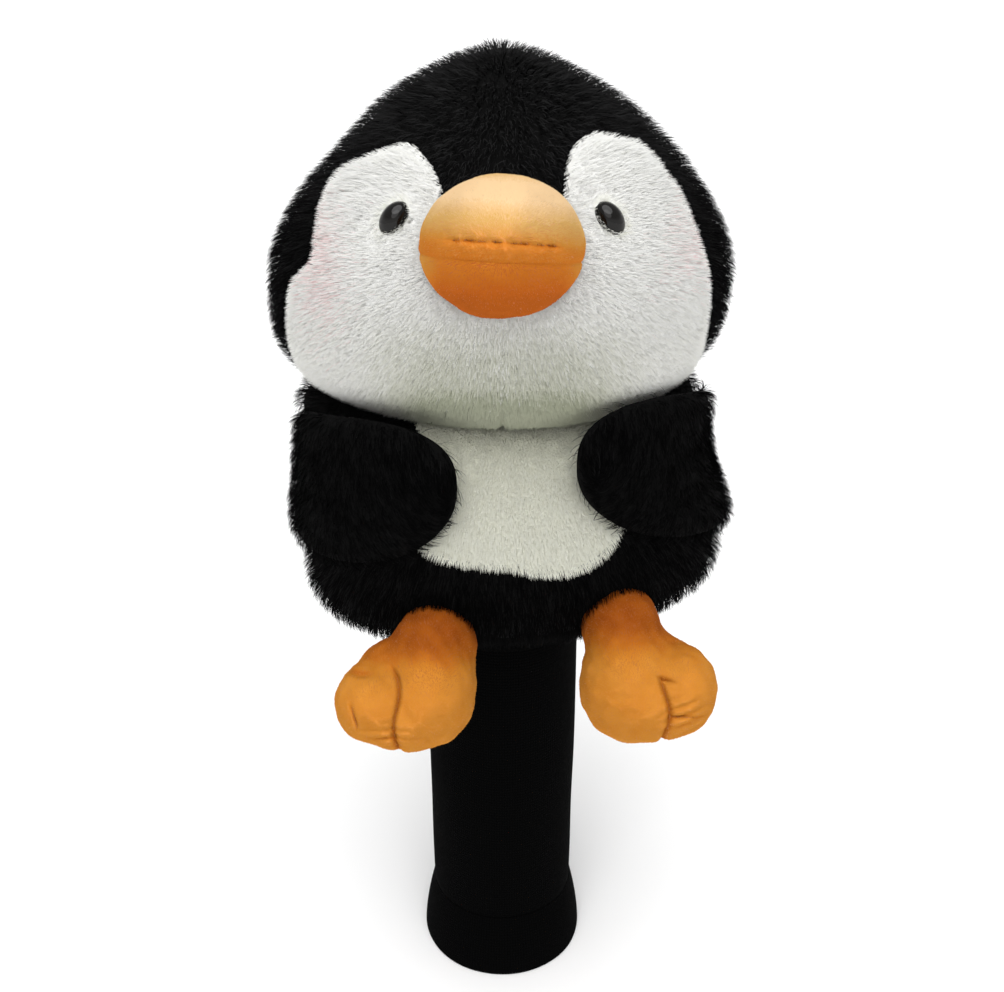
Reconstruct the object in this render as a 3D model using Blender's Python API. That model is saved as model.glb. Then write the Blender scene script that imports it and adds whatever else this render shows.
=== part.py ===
"""A driver head cover: a plush penguin sewn to a knitted sock, as its separate sewn pieces.

Metres, +Z up, the penguin faces -Y. The origin is the middle of the sock's mouth, on the surface
that the cover stands on. Fur panels are modelled as thick as their pile.
"""

import math

import bmesh
import bpy
from mathutils import Matrix, Vector
from mathutils.geometry import tessellate_polygon

# Driving dimensions
GAP = 0.0003
FUR = 0.006
SOCK_RADIUS = 0.032
SOCK_TOP = 0.1835
KNIT = 0.0012
CUFF_HEIGHT = 0.031
CUFF_RADIUS = 0.0371
BODY_TURN = math.radians(7)
BODY_SHIFT = 0.002
EYE_PLACE = (0.035, 0.352)
EYE_RADIUS = 0.006
EYE_SINK = 0.0022
SEAM_Y = 0.005
GUSSET_HALF_WIDTH = 0.026
BEAK_CENTRE = (0, -0.058, 0.3445)
BEAK_HALF_SIZES = (0.0256, 0.032, 0.0217)
BEAK_LIFT = math.radians(12)
EYE_TURN = math.radians(14)
WING_ROOT = (math.radians(100), 0.240)
WING_TIP = {"left": (math.radians(14), 0.263), "right": (math.radians(8), 0.270)}
WING_HALF_HEIGHT = 0.030
WING_WRAP_Z = 0.245
FOOT_CENTRE = (0.0435, -0.0645)
FOOT_HEIGHT = {"left": 0.184, "right": 0.186}
FOOT_HALF_LENGTH = 0.025
FOOT_HALF_WIDTH = 0.0225
FOOT_SPLAY = math.radians(26)
FOOT_DROOP = math.radians(11)
FOOT_HINGE = (0.0435, -0.0475, 0.2035)
LAYER_RADII = (0, 0.35, 0.65, 0.87, 1)

# A bulging shape: a section that changes with height, with its own rounding up and down
HEAD = {"y": 0.014, "z": 0.3234, "width": 0.0866, "front": 0.080, "back": 0.079, "up": 0.0768,
        "down": 0.057, "width_up": 1.48, "width_down": 2.67, "depth_up": 1.48, "depth_down": 2.67,
        "section": 2.15}
BODY = {"y": 0.010, "z": 0.224, "width": 0.0795, "front": 0.072, "back": 0.073, "up": 0.066,
        "down": 0.056, "width_up": 3.0, "width_down": 3.4, "depth_up": 2.2, "depth_down": 2.1,
        "section": 2.2}

# The face's outline from the front, in millimetres: the black peak, the lobe round each eye, the cheek
FACE_LEFT = [(0, 346), (-20, 352), (-23, 362), (-27, 370), (-36, 373), (-46, 368), (-55, 361),
             (-61, 352), (-64, 341), (-69, 331), (-78, 319), (-100, 311), (-100, 250)]
FACE_RIGHT = [(100, 250), (100, 299), (78, 303), (74, 316), (73, 329), (68, 343), (64, 354),
              (57, 364), (47, 371), (35, 375), (26, 371), (21, 362), (20, 352)]
# The bib's outline from the front, in millimetres
BIB = [(-40, 300), (-33, 262), (-38, 244), (-31, 233), (-8, 229), (12, 225), (27, 229), (36, 239),
       (43, 246), (32, 262), (38, 300)]

# The lining of the pouch: height, half width, half depth and middle, up to the start of its dome
POUCH = [(0.1838, 0.0305, 0.0305, 0.0), (0.192, 0.0345, 0.0335, 0.0), (0.206, 0.0405, 0.0385, 0.003),
         (0.228, 0.0465, 0.0445, 0.007), (0.272, 0.048, 0.046, 0.010), (0.290, 0.054, 0.053, 0.012)]
POUCH_DOME = {"z": 0.312, "y": 0.012, "width": 0.063, "depth": 0.061, "height": 0.060}

# Colour and roughness of each fabric
FINISH = {"black_fur": ((0.012, 0.012, 0.013), 0.9), "white_fur": ((0.84, 0.85, 0.83), 0.9),
          "bib_plush": ((0.72, 0.71, 0.60), 0.85), "orange_velboa": ((0.85, 0.38, 0.10), 0.8),
          "dark_orange": ((0.72, 0.27, 0.04), 0.8), "knit": ((0.008, 0.008, 0.009), 0.85),
          "lining": ((0.75, 0.75, 0.74), 0.8), "filling": ((0.9, 0.9, 0.9), 0.95),
          "eye": ((0.01, 0.01, 0.01), 0.1), "washer": ((0.8, 0.8, 0.8), 0.4),
          "elastic": ((0.1, 0.1, 0.1), 0.7), "thread": ((0.5, 0.2, 0.04), 0.7)}


def signed_power(value, exponent):
    return math.copysign(abs(value) ** exponent, value)


def fabric(name, finish):
    """A piece's own material, in one of the finishes."""
    colour, roughness = FINISH[finish]
    material = bpy.data.materials.new(name)
    material.use_nodes = True
    shader = material.node_tree.nodes["Principled BSDF"]
    shader.inputs["Base Color"].default_value = (*colour, 1)
    shader.inputs["Roughness"].default_value = roughness
    return material


def mesh_object(name, finish, points, faces, parent=None):
    """Make a named object from the points and faces of a closed skin. With no finish it is a guide."""
    shape = bmesh.new()
    corners = [shape.verts.new(point) for point in points]
    for face in faces:
        shape.faces.new([corners[index] for index in face])
    bmesh.ops.triangulate(shape, faces=shape.faces[:])
    bmesh.ops.recalc_face_normals(shape, faces=shape.faces[:])
    mesh = bpy.data.meshes.new(name)
    shape.to_mesh(mesh)
    shape.free()
    mesh.shade_smooth()
    mesh.set_sharp_from_angle(angle=math.radians(50))
    made = bpy.data.objects.new(name, mesh)
    bpy.context.collection.objects.link(made)
    made.parent = parent
    if finish is None:
        made.hide_render = True
        made.display_type = "WIRE"
        return made
    mesh.materials.append(fabric(name, finish))
    return made


def loft(rings, loop=False):
    """Join rings of points into a skin. A ring of one point is a pole, and a loop closes on itself."""
    points = [point for ring in rings for point in ring]
    starts = [sum(len(ring) for ring in rings[:index]) for index in range(len(rings))]
    steps = list(zip(range(len(rings)), range(1, len(rings))))
    if loop:
        steps.append((len(rings) - 1, 0))
    faces = []
    for low, high in steps:
        low_count, high_count = len(rings[low]), len(rings[high])
        count = max(low_count, high_count)
        for here in range(count):
            there = (here + 1) % count
            corners = [starts[low] + here % low_count, starts[low] + there % low_count,
                       starts[high] + there % high_count, starts[high] + here % high_count]
            faces.append(list(dict.fromkeys(corners)))
    return points, faces


def turned(profile, sides, loop=True):
    """Turn a profile of (radius, height) about Z. A radius of 0 is a pole."""
    rings = []
    for radius, height in profile:
        angles = [math.tau * step / sides for step in range(sides)] if radius else [0]
        rings.append([(radius * math.cos(a), radius * math.sin(a), height) for a in angles])
    return loft(rings, loop)


def blob_point(blob, azimuth, height, inset=0.0, section_height=None):
    """A point of a bulging shape. Azimuth runs from the front towards +X."""
    offset = (height if section_height is None else section_height) - blob["z"]
    side = "up" if offset > 0 else "down"
    level = min(abs(offset) / (blob[side] - inset), 1)
    wide = (1 - level ** blob["width_" + side]) ** (1 / blob["width_" + side])
    deep = (1 - level ** blob["depth_" + side]) ** (1 / blob["depth_" + side])
    reach = blob["front"] if math.cos(azimuth) > 0 else blob["back"]
    bend = 2 / blob["section"]
    x = (blob["width"] - inset) * wide * signed_power(math.sin(azimuth), bend)
    y = blob["y"] - (reach - inset) * deep * signed_power(math.cos(azimuth), bend)
    return Vector((x, y, height))


def blob_skin(blob, inset=0.0, sides=26, steps=12):
    """The whole closed skin of a bulging shape."""
    low = blob["z"] - blob["down"] + inset
    high = blob["z"] + blob["up"] - inset
    rings = [[(0, blob["y"], low)]]
    for step in range(1, steps):
        rise = math.pi * (step / steps - 0.5)
        height = blob["z"] + math.sin(rise) * ((high if rise > 0 else 2 * blob["z"] - low) - blob["z"])
        angles = [math.tau * turn / sides for turn in range(sides)]
        rings.append([blob_point(blob, angle, height, inset) for angle in angles])
    rings.append([(0, blob["y"], high)])
    return loft(rings)


def pouch_rings(grow, sides=24):
    """The pouch's rings from its neck to the top of its dome."""
    levels = list(POUCH)
    for rise in (0, 22, 43, 62, 78):
        angle = math.radians(rise)
        levels.append((POUCH_DOME["z"] + (POUCH_DOME["height"] + grow) * math.sin(angle),
                       POUCH_DOME["width"] * math.cos(angle), POUCH_DOME["depth"] * math.cos(angle),
                       POUCH_DOME["y"]))
    rings = []
    for height, width, depth, middle in levels:
        angles = [math.tau * step / sides for step in range(sides)]
        rings.append([((width + grow) * math.sin(a), middle - (depth + grow) * math.cos(a), height)
                      for a in angles])
    rings.append([(0, POUCH_DOME["y"], POUCH_DOME["z"] + POUCH_DOME["height"] + grow)])
    return rings


def smooth_outline(outline, grow=0.0, steps=3):
    """A closed smooth curve through an outline in millimetres, grown outwards, in metres."""
    count = len(outline)
    points = []
    for index in range(count):
        before, here, there, after = (Vector(outline[(index + k) % count]) for k in (-1, 0, 1, 2))
        for step in range(steps):
            t = step / steps
            points.append((2 * here + (there - before) * t
                           + (2 * before - 5 * here + 4 * there - after) * t ** 2
                           + (3 * here - before - 3 * there + after) * t ** 3) / 2000)
    area = sum(a.x * b.y - b.x * a.y for a, b in zip(points, points[1:] + points[:1]))
    grown = []
    for index, point in enumerate(points):
        along = points[(index + 1) % len(points)] - points[index - 1]
        outwards = Vector((along.y, -along.x)).normalized() * math.copysign(grow, area)
        grown.append(point + outwards)
    return grown


def prism_cutter(name, outline, grow, front, back, parent=None):
    """A guide with an outline drawn from the front, from one depth to another."""
    edge = smooth_outline(outline, grow)
    rings = [[(point.x, depth, point.y) for point in edge] for depth in (front, back)]
    points, faces = loft(rings)
    for corners in tessellate_polygon([[point.to_3d() for point in edge]]):
        faces += [list(corners), [corner + len(edge) for corner in corners]]
    return mesh_object(name, None, points, faces, parent)


def box_cutter(name, low, high, parent=None):
    """A guide in the shape of a box."""
    (x0, y0, z0), (x1, y1, z1) = low, high
    rings = [[(x0, y0, z), (x1, y0, z), (x1, y1, z), (x0, y1, z)] for z in (z0, z1)]
    points, faces = loft(rings)
    return mesh_object(name, None, points, faces + [[0, 1, 2, 3], [4, 5, 6, 7]], parent)


def cut(made, operation, *cutters):
    """Keep what is inside the cutters (INTERSECT) or outside them (DIFFERENCE)."""
    for cutter in cutters:
        step = made.modifiers.new(cutter.name, "BOOLEAN")
        step.operation = operation
        step.solver = "EXACT"
        step.object = cutter


def empty(name, place, turn, parent=None):
    made = bpy.data.objects.new(name, None)
    made.location = place
    made.rotation_euler.z = turn
    made.parent = parent
    bpy.context.collection.objects.link(made)
    return made


def thread(name, route, radius, parent=None):
    """A sewn thread along a route of points."""
    curve = bpy.data.curves.new(name, "CURVE")
    curve.dimensions = "3D"
    curve.bevel_depth = radius
    curve.bevel_resolution = 1
    curve.use_fill_caps = True
    spline = curve.splines.new("POLY")
    spline.points.add(len(route) - 1)
    for point, place in zip(spline.points, route):
        point.co = (*place, 1)
    made = bpy.data.objects.new(name, curve)
    bpy.context.collection.objects.link(made)
    made.parent = parent
    curve.materials.append(fabric(name, "thread"))


def sock():
    """The double knitted tube, its flared cuff, and the elastics inside."""
    outer_bore = SOCK_RADIUS - KNIT
    lining = outer_bore - GAP
    lining_bore = lining - KNIT
    mesh_object("sock_outer", "knit", *turned(
        [(SOCK_RADIUS, CUFF_HEIGHT + GAP), (SOCK_RADIUS, SOCK_TOP), (outer_bore, SOCK_TOP),
         (outer_bore, CUFF_HEIGHT + GAP)], 28))
    mesh_object("sock_lining", "knit", *turned(
        [(lining, 0.0018), (lining, SOCK_TOP), (lining_bore, SOCK_TOP), (lining_bore, 0.0018)], 28))
    flare = [(CUFF_RADIUS - (CUFF_RADIUS - SOCK_RADIUS) * (level / CUFF_HEIGHT) ** 1.6, level)
             for level in (0, 0.004, 0.010, 0.017, 0.024, CUFF_HEIGHT)]
    wall = [(max(radius - KNIT, outer_bore), level) for radius, level in flare[:0:-1]]
    wall[-1] = (CUFF_RADIUS - 2 * KNIT, 0.0015)
    mesh_object("sock_cuff", "knit", *turned(
        flare + wall + [(lining_bore, 0.0015), (lining_bore, 0)], 28))
    mesh_object("cuff_elastic", "elastic", *turned(
        [(0.0334, 0.0025), (0.0334, 0.009), (outer_bore, 0.009), (outer_bore, 0.0025)], 28))
    band = SOCK_RADIUS + GAP
    mesh_object("neck_elastic", "elastic", *turned(
        [(band, 0.1765), (band + 0.0014, 0.1765), (band + 0.0014, 0.1832), (band, 0.1832)], 28))


def pouch():
    """The lining that holds the club head, open at the sock's top."""
    outside = pouch_rings(0)
    inside = pouch_rings(-0.0015)
    mesh_object("pouch_lining", "lining", *loft(outside[::-1] + inside))


def eye_frame(side):
    """The eye's place on the face, with its Z axis straight out of the fur."""
    x, height = EYE_PLACE

    def surface(x_at, z_at):
        angle = math.asin(min(x_at / blob_point(HEAD, math.pi / 2, z_at).x, 1) ** (HEAD["section"] / 2))
        return blob_point(HEAD, angle, z_at)

    middle = surface(x, height)
    step = 0.001
    outwards = (surface(x, height + step) - middle).cross(surface(x + step, height) - middle)
    outwards.normalize()
    if outwards.y > 0:
        outwards = -outwards
    outwards.rotate(Matrix.Rotation(EYE_TURN, 3, "Z"))
    middle.x *= side
    outwards.x *= side
    turn = outwards.to_track_quat("Z", "Y").to_matrix().to_4x4()
    return Matrix.Translation(middle) @ turn


def head(guides):
    """The fur panels, the filling and the eyes with their washers."""
    reach = 0.2
    half = GUSSET_HALF_WIDTH
    shell = {"crown_gusset": (-half + GAP / 2, half - GAP / 2), "head_side_left": (-reach, -half - GAP / 2),
             "head_side_right": (half + GAP / 2, reach), "face_left": (-reach, -GAP / 2),
             "face_right": (GAP / 2, reach)}
    face = prism_cutter("face_guide", FACE_LEFT + FACE_RIGHT, 0, -reach, SEAM_Y)
    beyond = prism_cutter("face_gap_guide", FACE_LEFT + FACE_RIGHT, GAP, -reach, SEAM_Y + GAP)
    for name, (low, high) in shell.items():
        is_face = name.startswith("face")
        panel = mesh_object(name, "white_fur" if is_face else "black_fur", *blob_skin(HEAD))
        slab = box_cutter(name + "_guide", (low, -reach, 0.2), (high, reach, 0.5))
        cut(panel, "DIFFERENCE", guides["head_inside"], guides["pouch"])
        if is_face:
            cut(panel, "DIFFERENCE", guides["eye_seat_left" if name.endswith("left") else "eye_seat_right"])
        cut(panel, "INTERSECT", slab)
        cut(panel, "INTERSECT" if is_face else "DIFFERENCE", face if is_face else beyond)
    filling = mesh_object("head_stuffing", "filling", *blob_skin(HEAD, FUR + GAP))
    cut(filling, "DIFFERENCE", guides["pouch"], guides["eye_pocket_left"], guides["eye_pocket_right"])


def eyes():
    """Each eye is a domed stud whose stem passes through the fur to a washer behind it."""
    guides = {}
    dome = [(EYE_RADIUS * math.cos(math.radians(a)), 0.0046 * math.sin(math.radians(a)) - EYE_SINK)
            for a in (0, 18, 36, 54, 72)]
    stem = 0.0015
    profile = [(0, 0.0046 - EYE_SINK)] + dome[::-1] + [(EYE_RADIUS, -0.0005 - EYE_SINK),
                                                       (stem, -0.0005 - EYE_SINK), (stem, -0.0112),
                                                       (0, -0.0112)]
    washer = [(stem + GAP, -0.0090), (EYE_RADIUS, -0.0090), (EYE_RADIUS, -0.0102), (stem + GAP, -0.0102)]
    seat = [(0, 0.02), (EYE_RADIUS + GAP, 0.02), (EYE_RADIUS + GAP, -0.0008 - EYE_SINK),
            (stem + GAP, -0.0008 - EYE_SINK), (stem + GAP, -0.02), (0, -0.02)]
    pocket = [(0, 0), (EYE_RADIUS + 0.0006, 0), (EYE_RADIUS + 0.0006, -0.0116), (0, -0.0116)]
    for label, side in (("left", -1), ("right", 1)):
        frame = eye_frame(side)
        for name, finish, outline, loop in (("eye_" + label, "eye", profile, False),
                                            ("eye_washer_" + label, "washer", washer, True),
                                            ("eye_seat_" + label, None, seat, False),
                                            ("eye_pocket_" + label, None, pocket, False)):
            made = mesh_object(name, finish, *turned(outline, 16, loop))
            made.matrix_world = frame
            guides[name] = made
    return guides


def beak(guides):
    """The stuffed beak in two halves, with the thread that puckers its mouth. It points slightly up."""
    pose = Matrix.Translation(BEAK_CENTRE) @ Matrix.Rotation(-BEAK_LIFT, 4, "X")
    wide, long, tall = BEAK_HALF_SIZES

    def ball(inset, steps=12):
        arc = [math.pi * step / steps for step in range(steps + 1)]
        profile = [(0, 1)] + [(math.sin(angle), math.cos(angle)) for angle in arc[1:-1]] + [(0, -1)]
        points, faces = turned(profile, 24, False)
        sizes = Matrix.Diagonal((wide - inset, long - inset, tall - inset, 1))
        return [pose @ sizes @ Vector(point) for point in points], faces

    hollow = mesh_object("beak_hollow_guide", None, *ball(0.0018))
    above = box_cutter("beak_above_guide", (-0.1, -0.2, GAP / 2), (0.1, 0.1, 0.1))
    below = box_cutter("beak_below_guide", (-0.1, -0.2, -0.1), (0.1, 0.1, -GAP / 2))
    for name, finish, half in (("beak_upper", "orange_velboa", above), ("beak_lower", "dark_orange", below)):
        half.matrix_world = pose
        panel = mesh_object(name, finish, *ball(0))
        cut(panel, "DIFFERENCE", hollow, guides["head_clear"])
        cut(panel, "INTERSECT", half)
    filling = mesh_object("beak_stuffing", "filling", *ball(0.0018 + GAP))
    cut(filling, "DIFFERENCE", guides["head_clear"])
    radius = 0.0006
    out = radius + GAP
    angles = [math.radians(-60 + 10 * step) for step in range(13)]
    thread("mouth_stitch", [pose @ Vector(((wide + out) * math.sin(angle), -(long + out) * math.cos(angle), 0))
                            for angle in angles], radius)


def body(guides, frame):
    """The black panels, the bib let into the front, and the filling round the pouch."""
    reach = 0.2
    bib = prism_cutter("bib_guide", BIB, 0, -reach, 0, frame)
    around = prism_cutter("bib_gap_guide", BIB, GAP, -reach, 0, frame)
    halves = {"belly_bib": ((-reach, -reach), (reach, SEAM_Y)),
              "body_front": ((-reach, -reach), (reach, SEAM_Y)),
              "body_back_left": ((-reach, SEAM_Y + GAP), (-GAP / 2, reach)),
              "body_back_right": ((GAP / 2, SEAM_Y + GAP), (reach, reach))}
    for name, (low, high) in halves.items():
        finish = "bib_plush" if name == "belly_bib" else "black_fur"
        panel = mesh_object(name, finish, *blob_skin(BODY), frame)
        slab = box_cutter(name + "_guide", (*low, 0.1), (*high, 0.35), frame)
        cut(panel, "DIFFERENCE", guides["body_inside"], guides["pouch"], guides["neck"],
            guides["head_clear"])
        cut(panel, "INTERSECT", slab)
        if name == "belly_bib":
            cut(panel, "INTERSECT", bib)
        elif name == "body_front":
            cut(panel, "DIFFERENCE", around)
    filling = mesh_object("body_stuffing", "filling", *blob_skin(BODY, FUR + GAP), frame)
    cut(filling, "DIFFERENCE", guides["pouch"], guides["neck"], guides["head_clear"])


def layer(name, finish, place, low, high, radii, bend, parent, sides=20):
    """A sewn layer over a rounded outline, between two heights that change towards its edge."""
    def ring(radius, height):
        angles = [math.tau * step / sides for step in range(sides)] if radius else [0]
        return [place(radius * signed_power(math.cos(a), bend), radius * signed_power(math.sin(a), bend),
                      height(radius)) for a in angles]

    rings = [ring(radius, high) for radius in radii] + [ring(radius, low) for radius in radii[::-1]]
    return mesh_object(name, finish, *loft(rings), parent)


def dome(edge, crown):
    """A height that falls from the middle to the edge as a circle does."""
    return lambda radius: edge + crown * math.sqrt(max(1 - radius * radius, 0))


def wings(frame):
    """Each wing hugs the body from a vertical seam at its side, and swings out about that seam."""
    for label, side in (("left", -1), ("right", 1)):
        seam = blob_point(BODY, WING_ROOT[0], WING_ROOT[1], -0.0006)
        seam.x *= side
        hinge = empty("wing_hinge_" + label, seam, 0, frame)

        def place(along, up, height):
            reach = (along + 1) / 2
            azimuth = WING_ROOT[0] + (WING_TIP[label][0] - WING_ROOT[0]) * reach
            level = WING_ROOT[1] + (WING_TIP[label][1] - WING_ROOT[1]) * reach + WING_HALF_HEIGHT * up
            point = blob_point(BODY, azimuth, level, -height, min(level, WING_WRAP_Z))
            point.x *= side
            return point - seam

        bend = 2 / 2.5
        layer(f"wing_{label}_inner", "black_fur", place, lambda r: 0.0006, lambda r: 0.0018, LAYER_RADII,
              bend, hinge)
        layer(f"wing_{label}_stuffing", "filling", place, lambda r: 0.0021, dome(0.0014, 0.0048),
              LAYER_RADII[:-1], bend, hinge)
        layer(f"wing_{label}_outer", "black_fur", place, dome(0.0021, 0.0048), dome(0.0042, 0.0048),
              LAYER_RADII, bend, hinge)


def feet(guides, frame):
    """Each foot is a stuffed pad sewn under the front of the body, and lifts about that seam."""
    for label, side in (("left", -1), ("right", 1)):
        centre = Vector((side * FOOT_CENTRE[0], FOOT_CENTRE[1], FOOT_HEIGHT[label]))
        seam = Vector((side * FOOT_HINGE[0], *FOOT_HINGE[1:]))
        hinge = empty("foot_hinge_" + label, seam, 0, frame)
        pose = (Matrix.Translation(centre - seam) @ Matrix.Rotation(side * FOOT_SPLAY, 4, "Z")
                @ Matrix.Rotation(FOOT_DROOP, 4, "X"))

        def place(along, across, height):
            return pose @ Vector((FOOT_HALF_WIDTH * across, -FOOT_HALF_LENGTH * along, height))

        bend = 2 / 2.3
        pieces = [layer(f"foot_{label}_sole", "dark_orange", place, dome(-0.0015, -0.0100),
                        dome(-0.00015, -0.0096), LAYER_RADII, bend, hinge),
                  layer(f"foot_{label}_stuffing", "filling", place, dome(0.0003, -0.0096),
                        dome(-0.0003, 0.0146), LAYER_RADII[:-1], bend, hinge),
                  layer(f"foot_{label}_upper", "orange_velboa", place, dome(0.00015, 0.0146),
                        dome(0.0015, 0.0150), LAYER_RADII, bend, hinge)]
        for piece in pieces:
            cut(piece, "DIFFERENCE", guides["body_clear"])
        for number, across in ((1, -0.3), (2, 0.3)):
            length = FOOT_HALF_LENGTH * (1 - abs(across) ** 2.3) ** (1 / 2.3) + 0.0014
            route = []
            for step in range(10):
                angle = math.radians(62 - 9 * step)
                route.append(pose @ Vector((FOOT_HALF_WIDTH * across, -length * math.cos(angle),
                                            0.0184 * math.sin(angle))))
            thread(f"toe_stitch_{label}_{number}", route, 0.0006, hinge)


def guide_shapes(frame):
    """The shapes that several pieces are cut to."""
    pouch_shape = pouch_rings(GAP)
    low = [(p[0], p[1], POUCH[0][0] - GAP) for p in pouch_shape[0]]
    pouch_shape = [[(0, 0, POUCH[0][0] - GAP)], low] + pouch_shape[1:]
    bore = SOCK_RADIUS + GAP
    shapes = {"head_inside": (blob_skin(HEAD, FUR), None), "head_clear": (blob_skin(HEAD, -GAP), None),
              "pouch": (loft(pouch_shape), None), "body_inside": (blob_skin(BODY, FUR), frame),
              "body_clear": (blob_skin(BODY, -GAP), frame),
              "neck": (turned([(0, 0.1), (bore, 0.1), (bore, 0.176), (bore + 0.0018, 0.176),
                               (bore + 0.0018, 0.187), (0, 0.187)], 28, False), None)}
    return {name: mesh_object(name + "_guide", None, *skin, parent)
            for name, (skin, parent) in shapes.items()}


def main():
    for made in list(bpy.data.objects):
        bpy.data.objects.remove(made, do_unlink=True)
    frame = empty("body_frame", (BODY_SHIFT, 0, 0), BODY_TURN)
    guides = guide_shapes(frame)
    guides.update(eyes())
    sock()
    pouch()
    head(guides)
    beak(guides)
    body(guides, frame)
    wings(frame)
    feet(guides, frame)


main()
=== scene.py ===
"""The looks of a plush penguin driver head cover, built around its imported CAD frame.

Metres, +Z up, the penguin faces -Y. Every fur panel is a backing skin a few millimetres inside the
panel's outer surface, with a pile of short strands that reaches just past it.
"""

import math

import bmesh
import bpy
import numpy as np
from mathutils import Matrix, Vector


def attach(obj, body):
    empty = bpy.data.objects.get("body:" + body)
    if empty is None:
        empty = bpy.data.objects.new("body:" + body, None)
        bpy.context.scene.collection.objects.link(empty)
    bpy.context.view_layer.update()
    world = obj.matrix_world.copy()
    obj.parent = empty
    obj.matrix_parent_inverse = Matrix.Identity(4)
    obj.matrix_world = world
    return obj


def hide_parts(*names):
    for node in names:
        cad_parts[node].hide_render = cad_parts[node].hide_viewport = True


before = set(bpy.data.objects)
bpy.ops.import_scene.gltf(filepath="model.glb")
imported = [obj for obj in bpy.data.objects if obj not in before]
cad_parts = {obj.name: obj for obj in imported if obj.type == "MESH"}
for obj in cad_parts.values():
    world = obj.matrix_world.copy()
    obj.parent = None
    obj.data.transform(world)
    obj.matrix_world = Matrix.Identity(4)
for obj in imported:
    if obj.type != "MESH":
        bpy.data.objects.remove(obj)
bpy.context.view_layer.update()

# The shapes of the CAD model, in metres and radians
HEAD = {"y": 0.014, "z": 0.3234, "width": 0.0866, "front": 0.080, "back": 0.079, "up": 0.0776,
        "down": 0.057, "width_up": 1.50, "width_down": 2.67, "depth_up": 1.50, "depth_down": 2.67,
        "section": 2.15}
BODY = {"y": 0.010, "z": 0.224, "width": 0.0795, "front": 0.072, "back": 0.073, "up": 0.066,
        "down": 0.056, "width_up": 5.0, "width_down": 3.4, "depth_up": 2.2, "depth_down": 2.1,
        "section": 2.2}
BODY_FRAME = Matrix.Translation((0.002, 0, 0)) @ Matrix.Rotation(math.radians(7), 4, "Z")
# Where the side seams run, front to back, and half the width of the strip over the crown
SEAM_Y = 0.005
GUSSET_HALF_WIDTH = 0.026
# The outlines of the white face and of the bib, seen from the front, in millimetres
FACE = [(0, 345), (-17, 349), (-18.5, 358), (-22, 365), (-29, 370.5), (-38, 368.5), (-49, 363.5),
        (-56, 359), (-60.5, 351), (-62, 342), (-63, 335), (-67, 330.5), (-71, 326), (-73.5, 318),
        (-74.5, 308), (-73.5, 298), (-70, 286), (-63, 272), (-56, 255), (-40, 245), (40, 245), (56, 255),
        (62, 270), (67, 283), (70, 296), (70.5, 310), (70.5, 320), (69, 331), (65.5, 341), (61, 351),
        (55, 360), (46, 369), (37, 372), (31, 373.5), (25, 372), (21, 368), (19.5, 360), (18, 349)]
BIB = [(-40, 300), (-33, 262), (-42, 244), (-34, 233), (-8, 229), (12, 225), (27, 229), (36, 239),
       (43, 246), (32, 262), (38, 300)]
# The eyes: how far aside and how high, half their width and height, how they lean, how high the dome,
# how thick the rim and how deep the stem are, the stem's share of the width, and how they lie
EYE_PLACE = (0.0362, 0.352)
EYE_SIZES = (0.0045, 0.0062)
EYE_TILT = {"left": math.radians(20), "right": math.radians(-20)}
EYE_DOME, EYE_RIM, EYE_DEPTH = 0.0044, 0.0005, 0.0112
EYE_STEM = 0.3
EYE_SINK = 0.0032
EYE_TURN = math.radians(14)
# The beak's place and half sizes
BEAK_POSE = Matrix.Translation((0, -0.058, 0.3445)) @ Matrix.Rotation(math.radians(-12), 4, "X")
BEAK_SIZES = (0.0256, 0.032, 0.0217)
# The wings: how far round the body and how high their roots and tips are
WING_ROOT = (math.radians(100), 0.240)
WING_TIP = {"left": (math.radians(14), 0.263), "right": (math.radians(8), 0.270)}
WING_HALF_HEIGHT = 0.030
WING_WRAP_Z = 0.245
# How much of its outline a wing's skin fills, its heights above the body, and which way round it is bare
WING_FILL = 0.945
WING_RIM, WING_SWELL, WING_INNER = 0.0016, 0.0052, 0.0006
WING_EDGE = (0.955, 0.0011)
WING_BARE = 0.55
# The feet: their places, how they tilt, and how far under its place each is sewn on
FOOT_PLACE = {"left": (-0.0355, -0.0693, 0.1840), "right": (0.0546, -0.0598, 0.1838)}
FOOT_TILT = math.radians(-26)
FOOT_HINGE_DROP = 0.005
# How high the long crease in each foot starts, in the foot's own tilted frame
CREASE_TOP = {"left": 0.0085, "right": 0.0010}
# Each foot's lobes, in its own tilted frame: the middle and the half sizes
FOOT_LOBES = {
    "left": (((-0.0122, -0.003, -0.0042), (0.0126, 0.0150, 0.0136)),
             ((0.0105, -0.002, 0.0004), (0.0150, 0.0165, 0.0198)),
             ((0.0108, 0.006, 0.0160), (0.0147, 0.0150, 0.0150)),
             ((-0.0045, 0.006, 0.0052), (0.0125, 0.0130, 0.0122)),
             ((-0.0005, -0.004, -0.0074), (0.0130, 0.0138, 0.0138))),
    "right": (((0.0126, -0.003, -0.0044), (0.0119, 0.0150, 0.0152)),
              ((-0.0084, -0.002, -0.0034), (0.0170, 0.0165, 0.0205)),
              ((-0.0098, 0.006, 0.0180), (0.0142, 0.0150, 0.0150)),
              ((0.0015, 0.006, 0.0035), (0.0140, 0.0110, 0.0120)),
              ((0.0030, -0.004, -0.0092), (0.0130, 0.0138, 0.0138)))}
# The radius of each thread
MOUTH_THREAD, TOE_THREAD = 0.00018, 0.00022
# The sock, its cuff and the thickness of the knit
SOCK_RADIUS = 0.032
SOCK_TOP = 0.1835
CUFF_HEIGHT = 0.031
CUFF_RADIUS = 0.0371
KNIT = 0.0012

# How far the plush skins lie inside the CAD's surface, and how much higher the face's cloth lies
BASE_INSET = 0.0042
FACE_LIFT = 0.0014
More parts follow.
